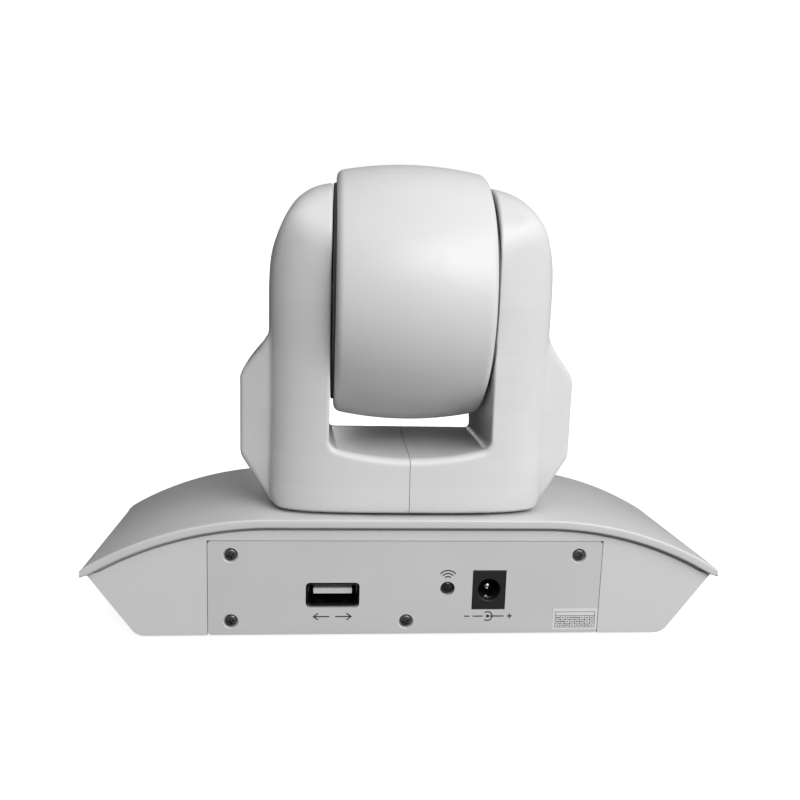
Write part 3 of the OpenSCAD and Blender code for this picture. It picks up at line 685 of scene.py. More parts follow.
def body_outline():
    """Rear view of the base body, up to just under the lid."""
    wide, foot_r, gap = LID_HIGH[0] - BODY_INSET, 4, 0.05
    side = (wide, under_lid(wide) - 0.1)
    lean = math.degrees(math.atan2(side[1] - 3, wide - BODY_FOOT))
    half = arc((BODY_FOOT - 4.2, foot_r), foot_r, foot_r, -90, lean - 90, 8) + [side]
    half += [(x, under_lid(x) - gap) for x in np.linspace(wide - 1.4, ARCH_FLAT, 26)]
    return mirrored(half)


def rim_rebate(y0, y1, drop):
    """A cutter that sets the top of the body's wall back, for the dark line under the lid."""
    wide, fade = LID_HIGH[0] - BODY_INSET, 3
    line = [(x, under_lid(x) - (LID_GAP + drop) * min(1, (wide - x) / fade))
            for x in np.linspace(wide, ARCH_FLAT, 60)]
    return prism("rebate", mirrored([(wide + 0.2, 60), (wide + 0.2, line[0][1]), *line]), y0, y1)


def follow_lid(body):
    """Give the body's top the lid's gentle crown."""
    top_starts = 10
    with edited(body.data) as bm:
        for y in np.linspace(BODY_LOW[1], REAR, 10)[1:-1]:
            bisected(bm, (0, y * MM, 0), (0, 1, 0))
        for vert in bm.verts:
            if vert.co.z / MM - LIFT > top_starts:
                vert.co.z += lid_fall(vert.co.y / MM) * MM


FOOT_R = 4.45


def foot_places():
    low, high = node_box("rubber_feet")
    return [(x, y, 0) for x in (low[0] + FOOT_R, high[0] - FOOT_R)
            for y in (low[1] + FOOT_R, high[1] - FOOT_R)]


def make_base_body():
    """The hollow body, with seats for the panel, the bottom plate, the window and the feet."""
    body = prism("base_body", body_outline(), BODY_LOW[1], REAR)
    follow_lid(body)
    front, gap, (left, back, _), (right, _, top) = BODY_LOW[1], 0.16, PANEL_LOW, PANEL_HIGH
    hollow = [(u * 0.965, max(v, 4) if v < 20 else v + 4) for u, v in body_outline()]
    window = placed((0, 13.5), round_box_outline(60, 12, 2.0))
    cutters = [
        prism("hollow", hollow, front + 2.2, REAR - 3.2),
        slab("pocket", (left - gap, back - 0.1, -1), (right + gap, REAR + 1, top + gap)),
        slab("behind", (left + 2, REAR - 5, 4), (right - 2, REAR + 1, top - 1.6)),
        rim_rebate(REAR - 1.4, REAR + 1, 0),
        rim_rebate(front - 1, front + 1.2, -lid_fall(front)),
        slab("plate_seat", (-58.25, -24.75, -1), (58.25, 24.75, 2)),
        slab("plate_hole", (-50, -17, -1), (50, 17, 6)),
        prism("window_seat", window, front - 1, front + 3),
    ]
    cutters += [turned("foot_seat", [(4.5, -1), (4.5, 0.8)], "z", place, 48) for place in foot_places()]
    cut(body, cutters)
    soften(body, 0.32, 3, 32)
    finish_piece(body, CASING, "base", ["base_shell"], None)


# Places on the rear panel, across and up.
PANEL_SCREWS = [(46.5, 22.2), (46.5, 3.9), (0.1, 3.6), (-46.1, 22.1), (-46.1, 3.9)]
EYE = (middle("ir_receiver_rear")[0], 12.9)


def make_panel():
    """Rear panel with its cut-outs and screw recesses."""
    low, high, wide = 0.08, PANEL_HIGH[2], PANEL_HIGH[0] - PANEL_LOW[0]
    outline = placed((0, (low + high) / 2), round_box_outline(wide, high - low, 0.9, 4))
    holes = [placed(middle("usb_shell"), round_box_outline(14.2, 7.0, 1.1, 6)),
             placed(middle("dc_jack"), round_box_outline(9.1, 11.2, 0.15, 2)),
             arc(EYE, 1.95, 1.95, 0, 352.5, 47)]
    panel = prism("socket_panel", outline, PANEL_LOW[1], REAR, holes)
    seat = [(1.85, -0.9), (1.85, -0.2), (2.1, 0.05), (2.1, 1)]
    cut(panel, [turned("recess", seat, "y", (x, REAR, z), 48) for x, z in PANEL_SCREWS])
    soften(panel, 0.14, 2, 40)
    finish_piece(panel, PANEL, "base", ["rear_panel"], None)


def screw_head(name, centre, axis, r, h, shaft, length):
    """A pan-head screw with a cross recess; its head stands along the axis."""
    crown = arc((r - 0.55 * h, h * 0.42), 0.55 * h, 0.5 * h, 0, 80, 5)
    profile = [(0, -length), (shaft * 0.6, -length), (shaft, -length + 0.5), (shaft, 0), (r, 0), *crown,
               (r * 0.35, h), (0, h)]
    head = turned(name, profile, axis, centre, 40)
    cutters = []
    for spin in (math.radians(20), math.radians(110)):
        w, d, deep = r * 0.66, r * 0.17, h * 0.8
        corners = [(-w, -d, h * 1.3), (w, -d, h * 1.3), (w, d, h * 1.3), (-w, d, h * 1.3),
                   (-w * 0.55, -d * 0.7, h - deep), (w * 0.55, -d * 0.7, h - deep),
                   (w * 0.55, d * 0.7, h - deep), (-w * 0.55, d * 0.7, h - deep)]
        turn = TURNS[axis] @ Matrix.Rotation(spin, 4, "Z")
        points = [np.array(turn @ Vector(c)) + centre for c in corners]
        faces = [(0, 1, 2, 3), (7, 6, 5, 4), (0, 4, 5, 1), (1, 5, 6, 2), (2, 6, 7, 3), (3, 7, 4, 0)]
        cutters.append(outward(add_object("cross", mesh_from("cross", points, faces))))
    cut(head, cutters)
    return head


def make_panel_screws():
    heads = [screw_head("screw", (x, REAR - 0.9, z), "y", 1.58, 0.75, 0.9, 6) for x, z in PANEL_SCREWS]
    screws = joined("panel_screw_set", heads)
    finish_piece(screws, OXIDE, "base", ["panel_screws"], 30)


def make_data_socket():
    """Type A socket: folded steel shell with a flared lip, springs, tongue and contacts."""
    low, high = node_box("usb_shell")
    cx, cz = middle("usb_shell")
    w, h = high[0] - low[0], high[2] - low[2]
    mouth, back, wall = REAR - 0.35, low[1], 0.35
    inside = -2 * wall
    sections = ((0, 0.7, back), (-0.3, 0.7, back + 0.3), (-0.3, 0.7, mouth - 0.5), (0, 0.9, mouth),
                (-0.25, 0.8, mouth + 0.12), (inside - 0.2, 0.6, mouth - 0.35),
                (inside - 0.3, 0.5, mouth - 0.9), (inside - 0.3, 0.5, back + 1))
    rings = [[(u, y, v) for u, v in placed((cx, cz), round_box_outline(w + grow, h + grow, r, 5))]
             for grow, r, y in sections]
    parts = [lofted("data_socket_shell", rings)]
    off = wall + 0.25
    for side in (-1, 1):
        parts += [spring_leaf(cx + x, cz + side * (h / 2 - off), side, mouth) for x in (-3.4, 3.4)]
        parts.append(side_leaf(cx + side * (w / 2 - off), cz, side, mouth))
    shell = outward(joined("data_socket_shell", parts))
    # The shell's near-black steel is painted shade.
    finish_piece(shell, DARKENED_SOCKET_STEEL, "base", ["usb_shell"], 40)
    make_data_tongue(cx)


def make_data_tongue(cx):
    """The socket's plastic tongue and its four contacts."""
    tongue_low, tongue_high = node_box("usb_tongue")
    tongue = slab("data_socket_tongue", tongue_low, tongue_high)
    soften(tongue, 0.2, 2)
    finish_piece(tongue, TONGUE, "base", ["usb_tongue"], None)
    (_, back, base), (_, tip, _) = node_box("usb_contacts")
    outline = [(back, -0.02), (tip - 2.4, -0.05), (tip - 1.2, -0.42), (tip - 0.4, -0.3), (tip, 0.1),
               (tip - 0.4, 0.2), (back, 0.2)]
    leaves = [ribbon_x("leaf", outline, cx + x, 0.8, base) for x in (-3.5, -1, 1, 3.5)]
    contacts = joined("data_socket_contacts", leaves)
    finish_piece(contacts, GOLD, "base", ["usb_contacts"])


def ribbon_x(name, outline, x, width, z):
    """An outline in Y and Z, drawn out along X."""
    return outward(lofted(name, [[(x + s * width / 2, y, z + v) for y, v in outline] for s in (-1, 1)]))


def spring_leaf(x, z, side, mouth):
    """A bowed retention spring on the socket's long wall."""
    outline = [(mouth - 1.0, 0.22), (mouth - 2.2, -0.25), (mouth - 4.2, -0.3), (mouth - 6.5, 0.1),
               (mouth - 6.5, 0.25), (mouth - 4.2, -0.12), (mouth - 2.2, -0.07)]
    return ribbon_x("spring", [(y, v * side) for y, v in outline], x, 2.2, z)


def side_leaf(x, z, side, mouth):
    leaf = spring_leaf(0, 0, side, mouth)
    for vert in leaf.data.vertices:
        across, up = vert.co.x, vert.co.z - LIFT * MM
        vert.co.x = x * MM + up
        vert.co.z = (z + LIFT) * MM + across
    return leaf


def make_power_jack():
    """The jack's square body, its round mouth, its centre pin and its spring."""
    low, high = node_box("dc_jack")
    cx, cz = middle("dc_jack")
    deep = -9.5
    body = slab("power_jack_body", low, high - (0, 0.02, 0))
    hole = turned("hole", [(3.0, deep), (3.0, -0.2), (3.1, 0), (3.1, 1)], "y", (cx, REAR, cz), 64)
    cut(body, [hole])
    soften(body, 0.3, 3, 40)
    finish_piece(body, JACK, "base", ["dc_jack"], None)
    pin_r = 1.05
    tip = [(pin_r * math.cos(a), -3.4 + 0.9 * math.sin(a)) for a in np.radians([0, 20, 40, 60, 78])]
    pin = turned("power_jack_pin", [(0, deep), (pin_r, deep), *tip, (0, -2.5)], "y", (cx, REAR, cz), 32)
    leaf = ribbon_x("leaf", [(REAR - 9, 0), (REAR - 5, 0.15), (REAR - 3.2, 0.75), (REAR - 2.2, 0.35),
                             (REAR - 2.2, 0.2), (REAR - 3.2, 0.55), (REAR - 5, 0)], cx, 2, cz - 3.15)
    pin = joined("power_jack_pin", [pin, leaf])
    finish_piece(pin, BRIGHT, "base", ["dc_pin"], 35)


def make_rear_eye():
    """The rear infrared receiver: a small dome on its block."""
    low, high = node_box("ir_receiver_rear")
    r, foot = 1.8, -0.95
    dome = [(0, -2.2), (r, -2.2), (r, foot)] + arc((0, foot), r, 0.75, 15, 90, 5)
    eye = turned("infrared_eye", dome, "y", (EYE[0], REAR - 0.2, EYE[1]), 40)
    block = slab("block", low, (high[0], low[1] + 2.9, high[2]))
    eye = joined("infrared_eye", [eye, block])
    finish_piece(eye, EYE_PLASTIC, "base", ["ir_receiver_rear"], 35)


def make_label():
    """Paper sticker and the empty grid printed on it."""
    low, high = node_box("blank_label")
    sheet = slab("label_sheet", low, (high[0], REAR + 0.05, high[2]))
    soften(sheet, 0.02, 1)
    finish_piece(sheet, PAPER, "base", ["blank_label"], None)
    margin, rows, columns, half_line, half_dash = 0.7, 3, 8, 0.065, 0.12
    left, right = low[0] + margin, high[0] - margin
    bottom, top = low[2] + margin, high[2] - 0.9
    header = bottom + (top - bottom) * rows / (rows + 1)

    def bar(x0, x1, z0, z1):
        return slab("bar", (x0, REAR + 0.052, z0), (x1, REAR + 0.07, z1))

    bars = [bar(left, right, z - half_line, z + half_line) for z in np.linspace(bottom, top, rows + 2)]
    for x in np.linspace(left, right, columns + 1):
        end = top if x in (left, right) else header
        bars.append(bar(x - half_line, x + half_line, bottom, end))
    for row in range(rows):
        for column in range(columns):
            u = left + (right - left) * (column + 0.5) / columns
            v = bottom + (header - bottom) * (row + 0.5) / rows
            size = 0.22 + 0.1 * ((row * 5 + column * 3) % 4)
            bars.append(bar(u - size, u + size, v - half_dash, v + half_dash))
    grid = joined("label_grid", bars)
    finish_piece(grid, INK, "base", (), None)


def stroke(name, path, width, closed=False):
    """A printed line along a path in X and Z on the rear panel."""
    curve = np.array(path, float)
    ahead = np.roll(curve, -1, 0) - curve
    back = curve - np.roll(curve, 1, 0)
    if not closed:
        ahead[-1], back[0] = back[-1], ahead[0]
    ahead /= np.linalg.norm(ahead, axis=1)[:, None]
    back /= np.linalg.norm(back, axis=1)[:, None]
    along = ahead + back
    along /= np.linalg.norm(along, axis=1)[:, None]
    side = np.stack([-along[:, 1], along[:, 0]], axis=1)
    widen = width / 2 / np.maximum((side * np.stack([-ahead[:, 1], ahead[:, 0]], axis=1)).sum(1), 0.4)
    left, right = curve + side * widen[:, None], curve - side * widen[:, None]
    count = len(curve)
    points = [(u, y, v) for y in (REAR + 0.004, REAR + 0.03) for u, v in np.concatenate([left, right])]
    faces = []
    for i in range(count if closed else count - 1):
        j = (i + 1) % count
        a, b, c, d = i, j, count + j, count + i
        lift = 2 * count
        faces += [(a, b, c, d), (a + lift, d + lift, c + lift, b + lift),
                  (b, a, a + lift, b + lift), (d, c, c + lift, d + lift)]
    if not closed:
        for a, d in ((0, count), (2 * count - 1, count - 1)):
            faces.append((a, d, d + 2 * count, a + 2 * count))
    obj = add_object(name, mesh_from(name, points, faces))
    return outward(obj)


def make_marks():
    """Plain printed symbols for the sockets: two arrows for data, waves for infrared, polarity for power."""
    width = 0.32
    data = []
    z = 5.1
    for x, way in ((22.6, 1), (17.0, -1)):
        data.append(stroke("line", [(x + 2.0, z), (x - 2.0, z)], width))
        back, point = x + way * 1.0, x + way * 2.2
        data.append(stroke("tip", [(back, z + 0.9), (point, z), (back, z - 0.9)], width))
    waves = [stroke("wave", arc((-10.8, 15.3), r, r, 40, 140, 10), width) for r in (1.0, 1.85, 2.7)]
    plug, z = -22.0, 5.0
    power = [stroke("ring", arc((plug, z), 1.25, 1.25, 50, 310, 24), width),
             stroke("dot", arc((plug, z), 0.25, 0.25, 0, 330, 11), 0.4, True),
             stroke("plus", [(plug - 6, z + 0.7), (plug - 6, z - 0.7)], width)]
    for start, end in ((-22.5, -26.4), (-20.75, -17.9), (-15.6, -17.0), (-27.3, -28.7)):
        power.append(stroke("line", [(start, z), (end, z)], width))
    for name, strokes in (("mark_data", data), ("mark_infrared", waves), ("mark_power", power)):
        finish_piece(joined(name, strokes), INK, "base", (), None)


def make_front_window():
    low, high = node_box("front_window")
    outline = round_box_outline(high[0] - low[0], high[2] - low[2], 1.9)
    outline = placed((0, middle("front_window")[1]), outline)
    window = prism("front_window_lens", outline, BODY_LOW[1], high[1])
    soften(window, 0.25, 3)
    finish_piece(window, DARK_WINDOW, "base", ["front_window"], None)


def make_feet():
    r, top = FOOT_R, 0.75
    profile = [(0, -LIFT), (r - 0.9, -LIFT), (r - 0.5, -LIFT + 0.12), (r - 0.2, -0.4), (r, 0.0), (r, top),
               (0, top)]
    feet = [turned("foot", profile, "z", place, 48) for place in foot_places()]
    finish_piece(joined("rubber_foot_set", feet), RUBBER, "base", ["rubber_feet"])


# ---- yoke ----------------------------------------------------------------------------------------

SLOT_X = 21.4
POD_X = YOKE_HIGH[0] - 0.6
YOKE_REAR = 28.2
YOKE_WALL = 2.2
ARM_X = 38.3
HALF_SEAM = 0.07
# Side view: the front edge in depth and height, and the rear edge's depth at a height.
FRONT_LINE = [(-27.0, 20), (-27.0, 33), (-26.4, 35.6), (-20.5, 40.2), (-14, 44.8), (-10.3, 48.2), (-9.9, 52),
              (-11.2, 58), (-14.6, 65), (-19.4, 72.5), (-24.4, 80.5), (-27.6, 89)]
REAR_LINE = ((33, 28.2), (40, 27.4), (48, 26.8), (60, 26.5), (75, 26.6), (88, 27.2), (125, 27.2))


def curved(points, steps=5):
    """A smooth line through points."""
    p = np.array([points[0], *points, points[-1]], float)
    t = np.linspace(0, 1, steps, endpoint=False)[:, None]
    line = []
    for a, b, c, d in zip(p, p[1:], p[2:], p[3:]):
        line += list(0.5 * (2 * b + (c - a) * t + (2 * a - 5 * b + 4 * c - d) * t ** 2
                            + (3 * b - a - 3 * c + d) * t ** 3))
    return [tuple(q) for q in line] + [points[-1]]


# Front view: half the width at a drop below the top.
DOME = ((38.6, 28), (38.1, 23), (37.2, 19), (35.9, 15.5), (34.5, 12.3), (32.8, 8.6), (30.5, 5.1), (27.2, 2.3),
        (24.2, 0.9), (21, 0.1), (17, -0.1))


def full_corner(half, low, high, power, steps):
    """A quarter of a superellipse, from its side to its middle."""
    angles = np.radians(np.linspace(0, 90, steps + 1))
    return [(half * math.cos(a) ** (2 / power) if a < 1.57 else 0.0,
             low + (high - low) * math.sin(a) ** (2 / power)) for a in angles]


def closed_inward(points):
    """Half an outline, closed well past the middle; the field mirrors it."""
    return [*points, (-12, points[-1][1]), (-12, points[0][1])]


FRONT_VIEW = closed_inward([(34.4, 31), (36.8, 33.8), (38.5, 36), (38.6, 48)]
                           + curved([(x, YOKE_HIGH[2] - drop) for x, drop in DOME], 6))
SIDE_VIEW = ([(31, 10), (31, 89)] + arc((0, 89), 31, 32.5, 4, 90, 30)
             + arc((0, 89), 28.2, 32.5, 94, 176, 30) + list(reversed(curved(FRONT_LINE))) + [(-27, 10)])
PLAN_VIEW = closed_inward([(ARM_X, -60)] + full_corner(ARM_X, 11.5, YOKE_REAR, 3.5, 60))
POD_FRONT = closed_inward([(30, 31), (35.4, 31), (POD_X - 0.4, 45.6), (POD_X, 46.8),
                           (POD_X, 65.2), (45.8, 67), (44.4, 69.4), (42.4, 72), (40.5, 74.2), (38.7, 77),
                           (37.2, 79.5), (30, 84)])
POD_PLAN = closed_inward([(30, -13), (41.5, -7)] + arc((POD_X - 3.6, -2), 3.6, 4.4, -52, 0, 5)
                         + arc((POD_X - 1.4, 15.0), 1.4, 1.4, 0, 70, 6) + [(38.0, 18.6), (30, 20.8)])


def slot_field(x, y, z):
    """Distance to the slot that holds the drum; its floor is dished towards the rear rim."""
    toward_rear = np.clip((y + 10) / 34, 0, 1)
    radius = 1.4 + 0.8 * toward_rear
    floor = FLOOR_Z + (0.0062 * x ** 2 - 0.7) * toward_rear
    across = np.abs(x) - (SLOT_X - radius)
    down = floor + radius - z
    return (np.minimum(np.maximum(across, down), 0)
            + np.hypot(np.maximum(across, 0), np.maximum(down, 0)) - radius)


def yoke_body(x, y, z):
    """Arms, bridge and side pods without the slot."""
    side = np.abs(x)
    lean = YOKE_REAR - np.interp(z, *zip(*REAR_LINE))
    dome = soft_max(outline_distance(FRONT_VIEW, side, z), outline_distance(SIDE_VIEW, y, z), 5)
    if np.ndim(x) == 3:
        flat_y = np.linspace(np.min(y) - 1, np.max(y) + 4, 400)
        table = outline_distance(PLAN_VIEW, side[:, :, 0], flat_y[None, :])
        shifted = (y + lean - flat_y[0]) / (flat_y[1] - flat_y[0])
        low = np.clip(shifted.astype(int), 0, 398)[0]
        part = shifted[0] - low
        plan = table[:, low] * (1 - part) + table[:, low + 1] * part
    else:
        plan = outline_distance(PLAN_VIEW, side, y + lean)
    arms = soft_max(dome, plan, 2.5)
    pods = soft_max(outline_distance(POD_FRONT, side, z), outline_distance(POD_PLAN, side, y), 1.6)
    whole = soft_min(arms, pods, 0.8)
    return soft_max(whole, YOKE_LOW[2] - z, 0.9)


def yoke_field(x, y, z):
    """The hollow yoke shell with its openings for the hub and the tilt shafts."""
    body, slot = yoke_body(x, y, z), slot_field(x, y, z)
    outside = soft_max(body, -slot, 0.6 + 1.5 * np.clip((FLOOR_Z + 5 - z) / 4, 0, 1))
    hollow = soft_max(body + YOKE_WALL, YOKE_WALL - 0.2 - slot, 1.0)
    shell = np.maximum(outside, -hollow)
    hub_hole = np.maximum(np.hypot(x, y) - 14.4, z - 37)
    shaft_hole = np.maximum(np.hypot(y, z - TILT_Z) - 6.5, np.abs(x) - 26)
    return np.maximum(shell, -np.minimum(hub_hole, shaft_hole))


def seam_lip_field(x, y, z):
    """A lip inside the shells' wall, which closes the seam between them."""
    return np.maximum(np.abs(x) - 0.3, yoke_field(0 * x, y, z) + 0.6)


def make_yoke():
    low = (-POD_X, -28, YOKE_LOW[2])
    high = (POD_X, 29, YOKE_HIGH[2])
    whole = field_mesh("yoke", yoke_field, low, high, 0.6)
    for name, sign, node in (("yoke_left_casing", -1, "yoke_left_shell"),
                             ("yoke_right_casing", 1, "yoke_right_shell")):
        seam = sign * HALF_SEAM
        mesh = slice_mesh(whole, name, (seam, 0, 0), (-sign, 0, 0))
        smooth_normals(mesh, yoke_field, 0, seam)
        finish_piece(add_object(name, mesh), YOKE_CASING, "yoke", [node], None)
    lip = field_mesh("yoke_seam_lip", seam_lip_field, (-0.3, -28, YOKE_LOW[2]), (0.3, 29, FLOOR_Z + 1), 0.3)
    finish_piece(add_object("yoke_seam_lip", lip), YOKE_CASING, "yoke", (), 35)


# ---- drum head -----------------------------------------------------------------------------------

DRUM_R = DRUM_HIGH[1]
DRUM_END_R = 33.2
DRUM_X = DRUM_HIGH[0]
SPLIT_Y = DRUM_LOW[1]
CROWN_R = (DRUM_X ** 2 + (DRUM_R - DRUM_END_R) ** 2) / 2 / (DRUM_R - DRUM_END_R)
BEZEL_R = BEZEL_HIGH[0]


def drum_field(x, y, z):
    """The hollow drum, crowned across its width, with openings for the bezel and the shafts."""
    r = np.hypot(y, z - TILT_Z)
    crown = np.hypot(x, r - (DRUM_R - CROWN_R)) - CROWN_R
    body = soft_max(crown, np.abs(x) - DRUM_X, 2.0) + 0.01
    shell = np.maximum(body, -(body + 1.8))
    lens_hole = np.maximum(np.hypot(x, z - TILT_Z) - BEZEL_R - 0.2, y)
    shaft_hole = r - 5
    return soft_max(np.maximum(shell, -shaft_hole), -lens_hole, 0.9)


def make_drum():
    low = (-DRUM_X, -DRUM_R, TILT_Z - DRUM_R)
    high = (DRUM_X, DRUM_R, TILT_Z + DRUM_R)
    whole = field_mesh("drum", drum_field, low, high, 0.6)
    for name, sign, node in (("drum_rear_casing", 1, "head_rear_shell"),
                             ("drum_front_casing", -1, "head_front_shell")):
        seam = SPLIT_Y + sign * 0.06
        mesh = slice_mesh(whole, name, (0, seam, 0), (0, -sign, 0))
        smooth_normals(mesh, drum_field, 1, seam)
        finish_piece(add_object(name, mesh), DRUM, "head", [node], None)


def make_side_felts():
    """Felt rings that fill the gap between the drum and the arms; their dark tone also stands in for the
    shade inside that gap.
    """
    far, r, _ = node_box("side_discs")[1]
    near, hole_r, edge = DRUM_X - 0.1, 5.2, 0.3
    section = [(hole_r, near), (r, near), (r, far - edge), (r - edge, far), (hole_r + edge, far),
               (hole_r, far - edge), (hole_r, near)]
    rings = [turned("ring", [(radius, s * x) for radius, x in section], "x", TILT_AXIS, 128) for s in (-1, 1)]
    finish_piece(joined("side_felt_rings", rings), GAP_SHADE_FELT, "head", ["side_discs"], 30)


def make_bezel(glass_r, seat):
    """The lens bezel: a ring with a rounded rim and a seat for the glass."""
    front, back, inner_r, rim_r = -BEZEL_LOW[1], -BEZEL_HIGH[1], 12.5, 0.7
    profile = [(inner_r, back), (BEZEL_R, back), (BEZEL_R, front - 0.9)]
    profile += [(BEZEL_R - rim_r + rim_r * math.cos(a), front - rim_r + rim_r * math.sin(a))
                for a in np.radians([20, 45, 70, 90])]
    profile += [(14.9, front), (14.5, front - 0.35), (glass_r + 0.15, front - 0.7),
                (glass_r + 0.05, seat + 0.1), (glass_r + 0.05, seat), (inner_r, seat), (inner_r, back)]
    bezel = turned("lens_bezel_ring", [(r, -h) for r, h in profile], "y", TILT_AXIS, 128)
    finish_piece(bezel, BLACK, "head", ["lens_bezel"], 30)


def make_front_glass(glass_r, seat):
    dome = [(glass_r * k / 8, -(seat + 1.0 - 0.35 * (k / 8) ** 2)) for k in range(9)]
    glass = turned("lens_front_glass", [*dome, (glass_r, -seat), (0, -seat)], "y", TILT_AXIS, 96)
    finish_piece(glass, GLASS, "head", ["front_glass"], 30)


def make_barrel():
    """The lens barrel, with thread grooves behind its lip."""
    barrel_low, barrel_high = node_box("lens_barrel")
    r_out, r_in = barrel_high[0], 11.0
    lip, end = -barrel_low[1], -barrel_high[1]
    steps = [(r_out, end), (r_out, lip - 0.4), (r_out - 0.4, lip), (11.5, lip), (10.2, lip - 0.8)]
    threads = [(r_in + 0.15 * (k % 2), lip - 3.4 - 0.35 * k) for k in range(8)]
    inner = [(10.2, lip - 0.9), (r_in, lip - 1.0), (r_in, lip - 3.3), *threads, (r_in, lip - 6.4),
             (r_in, end), (r_out, end)]
    barrel = turned("lens_barrel_tube", [(r, -h) for r, h in steps + inner], "y", TILT_AXIS, 96)
    finish_piece(barrel, ANODISED, "head", ["lens_barrel"], 30)


def make_elements():
    """The lens elements: each face bulges outward."""
    for name, node, body, bulge in (("lens_objective", "objective_lens", "head", 1.2),
                                    ("lens_zoom_element", "zoom_lens", "zoom_group", 0.7),
                                    ("lens_focus_element", "focus_lens", "focus_group", 0.6)):
        (_, near, _), (r, far, _) = node_box(node)
        r -= 0.02
        face = [(r * k / 10, near + bulge * (k / 10) ** 2) for k in range(11)]
        other = [(r * k / 10, far - bulge * (k / 10) ** 2) for k in range(10, -1, -1)]
        element = turned(name, face + other, "y", TILT_AXIS, 96)
        finish_piece(element, GLASS, body, [node], 30)


def make_cells():
    """The rings that carry the moving elements, stepped at the front."""
    inner_r, step_from, edge = 8.45, 1.9, 0.3
    for name, node, body in (("zoom_cell_ring", "zoom_cell", "zoom_group"),
                             ("focus_cell_ring", "focus_cell", "focus_group")):
        (_, a, _), (r, b, _) = node_box(node)
        steps = [(8.9 + 0.3 * k + 0.12 * (k % 2), a + step_from - 0.38 * k) for k in range(1, 5)]
        profile = [(inner_r, b - edge), (inner_r, a + step_from), *steps, (r - edge, a), (r, a + edge),
                   (r, b - edge), (r - edge, b), (8.7, b), (inner_r, b - edge)]
        cell = turned(name, profile, "y", TILT_AXIS, 96)
        finish_piece(cell, ANODISED, body, [node], 30)


def make_lens():
    """Bezel, front glass, barrel and lens cells."""
    glass_r, glass_back, _ = node_box("front_glass")[1]
    seat = -glass_back
    make_bezel(glass_r, seat)
    make_front_glass(glass_r, seat)
    make_barrel()
    make_elements()
    make_cells()


# ---- CAD pieces that keep their shape ------------------------------------------------------------

KEPT = {
    "bottom_plate": STEEL, "bottom_screws": OXIDE, "cover_screws": OXIDE, "ir_receiver_front": BLACK,
    "status_led": LAMP, "main_board": BOARD, "board_chips": CHIP, "tripod_insert": BRASS,
    "pan_bracket": STEEL, "pan_bearing": BRIGHT,
    "pan_motor": STEEL, "pan_pinion": BRASS, "pan_gear": NYLON, "pan_hub": BLACK, "yoke_frame": STEEL,
    "yoke_screws": OXIDE, "hub_screws": OXIDE, "tilt_motor": STEEL, "tilt_pinion": BRASS, "tilt_gear": NYLON,
    "tilt_bearings": BRIGHT, "tilt_trunnions": BRIGHT, "camera_bracket": STEEL, "camera_body": BLACK,
    "sensor_board": BOARD, "image_sensor": SENSOR, "head_screws": OXIDE,
}


def finish_kept():
    """Materials and softened edges for the CAD pieces that stay."""
    for node, material in KEPT.items():
        obj = bpy.data.objects[node]
        obj.data.materials.clear()
        obj.data.materials.append(material)
        edge = obj.modifiers.new("edge", "BEVEL")
        edge.width = 0.08 * MM
        edge.segments = 1
        edge.limit_method = "ANGLE"
        edge.angle_limit = math.radians(50)


# ---- stage ---------------------------------------------------------------------------------------

def aimed(light, place, aim):
    light.location = place
    light.rotation_euler = (Vector(aim) - Vector(place)).to_track_quat("-Z", "Y").to_euler()
    bpy.context.collection.objects.link(light)


def soft_light(name, place, aim, size, power):
    """A round soft box."""
    data = bpy.data.lights.new(name, "AREA")
    data.shape = "DISK"
    data.size = size
    data.energy = power
    aimed(bpy.data.objects.new(name, data), place, aim)


def distant_light(name, place, aim, spread, strength):
    """A very large soft box far away, which lights the whole floor evenly."""
    data = bpy.data.lights.new(name, "SUN")
    data.angle = math.radians(spread)
    data.energy = strength
    aimed(bpy.data.objects.new(name, data), place, aim)


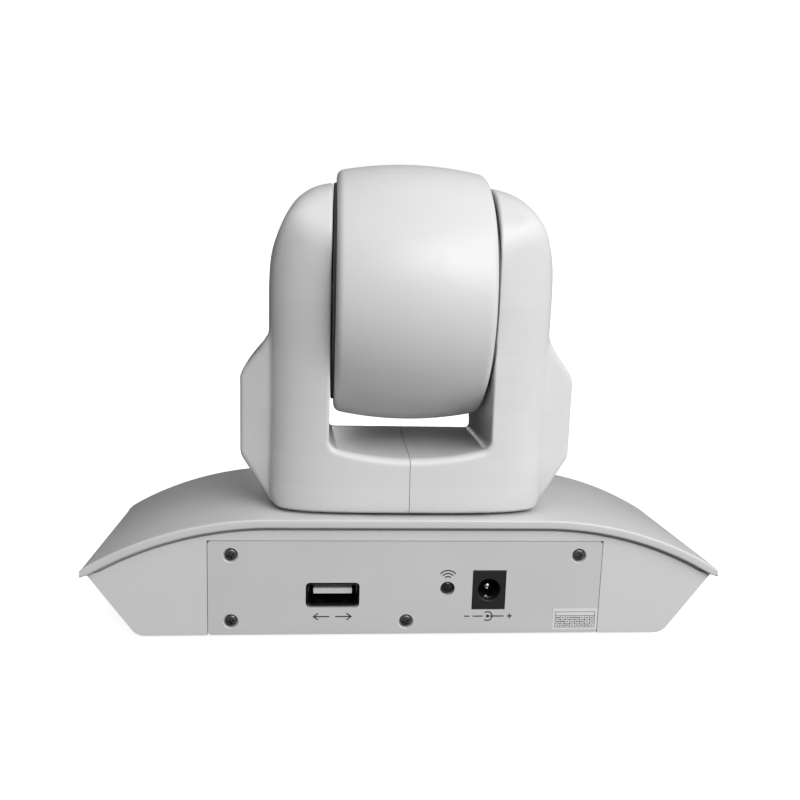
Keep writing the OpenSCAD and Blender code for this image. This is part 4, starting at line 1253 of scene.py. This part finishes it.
def make_floor():
    floor = add_object("floor", bpy.data.meshes.new("floor"))
    bm = bmesh.new()
    bmesh.ops.create_grid(bm, x_segments=1, y_segments=1, size=40)
    bm.to_mesh(floor.data)
    bm.free()
    n = Nodes("floor_paper")
    paper = n.mix(n.spread(n.noise(3), 0, 1), (0.84, 0.84, 0.84), (0.86, 0.86, 0.86))
    n.join(paper, n.shader.inputs["Base Color"])
    n.set(Roughness=0.9, Specular_IOR_Level=0.0, Emission_Color=(1, 1, 1, 1), Emission_Strength=0.8)
    floor.data.materials.append(n.material)
    floor.visible_diffuse = False
    floor.visible_glossy = False


def make_world():
    """White to the camera; to the object, soft light that is weaker from below."""
    world = bpy.data.worlds.new("studio")
    world.use_nodes = True
    nodes, links = world.node_tree.nodes, world.node_tree.links
    place = nodes.new("ShaderNodeTexCoord")
    toward = nodes.new("ShaderNodeVectorMath")
    toward.operation = "DOT_PRODUCT"
    toward.inputs[1].default_value = (-0.50, 0.41, 0.76)
    links.new(place.outputs["Generated"], toward.inputs[0])
    level = nodes.new("ShaderNodeMapRange")
    level.inputs["From Min"].default_value = -0.4
    level.inputs["From Max"].default_value = 0.8
    level.inputs["To Min"].default_value = 0.08
    level.inputs["To Max"].default_value = 0.42
    links.new(toward.outputs["Value"], level.inputs["Value"])
    path = nodes.new("ShaderNodeLightPath")
    mix = nodes.new("ShaderNodeMix")
    mix.inputs[3].default_value = 1.0
    links.new(path.outputs["Is Camera Ray"], mix.inputs[0])
    links.new(level.outputs["Result"], mix.inputs[2])
    links.new(mix.outputs[0], nodes["Background"].inputs["Strength"])
    nodes["Background"].inputs["Color"].default_value = (1, 1, 1, 1)
    bpy.context.scene.world = world


def make_stage():
    make_floor()
    make_world()
    aim = (0, 0, 0.06)
    distant_light("key", (-0.22, 0.80, 0.60), aim, spread=30, strength=0.82)
    soft_light("side", (-0.32, 0.36, 0.38), aim, size=0.5, power=1.8)
    distant_light("fill", (0.0, -1.0, 0.06), aim, spread=8, strength=0.2)
    bpy.context.scene.view_settings.view_transform = "Standard"


make_lid()
make_base_body()
make_panel()
make_panel_screws()
make_data_socket()
make_power_jack()
make_rear_eye()
make_label()
make_marks()
make_front_window()
make_feet()
make_yoke()
make_drum()
make_side_felts()
make_lens()
finish_kept()
make_stage()
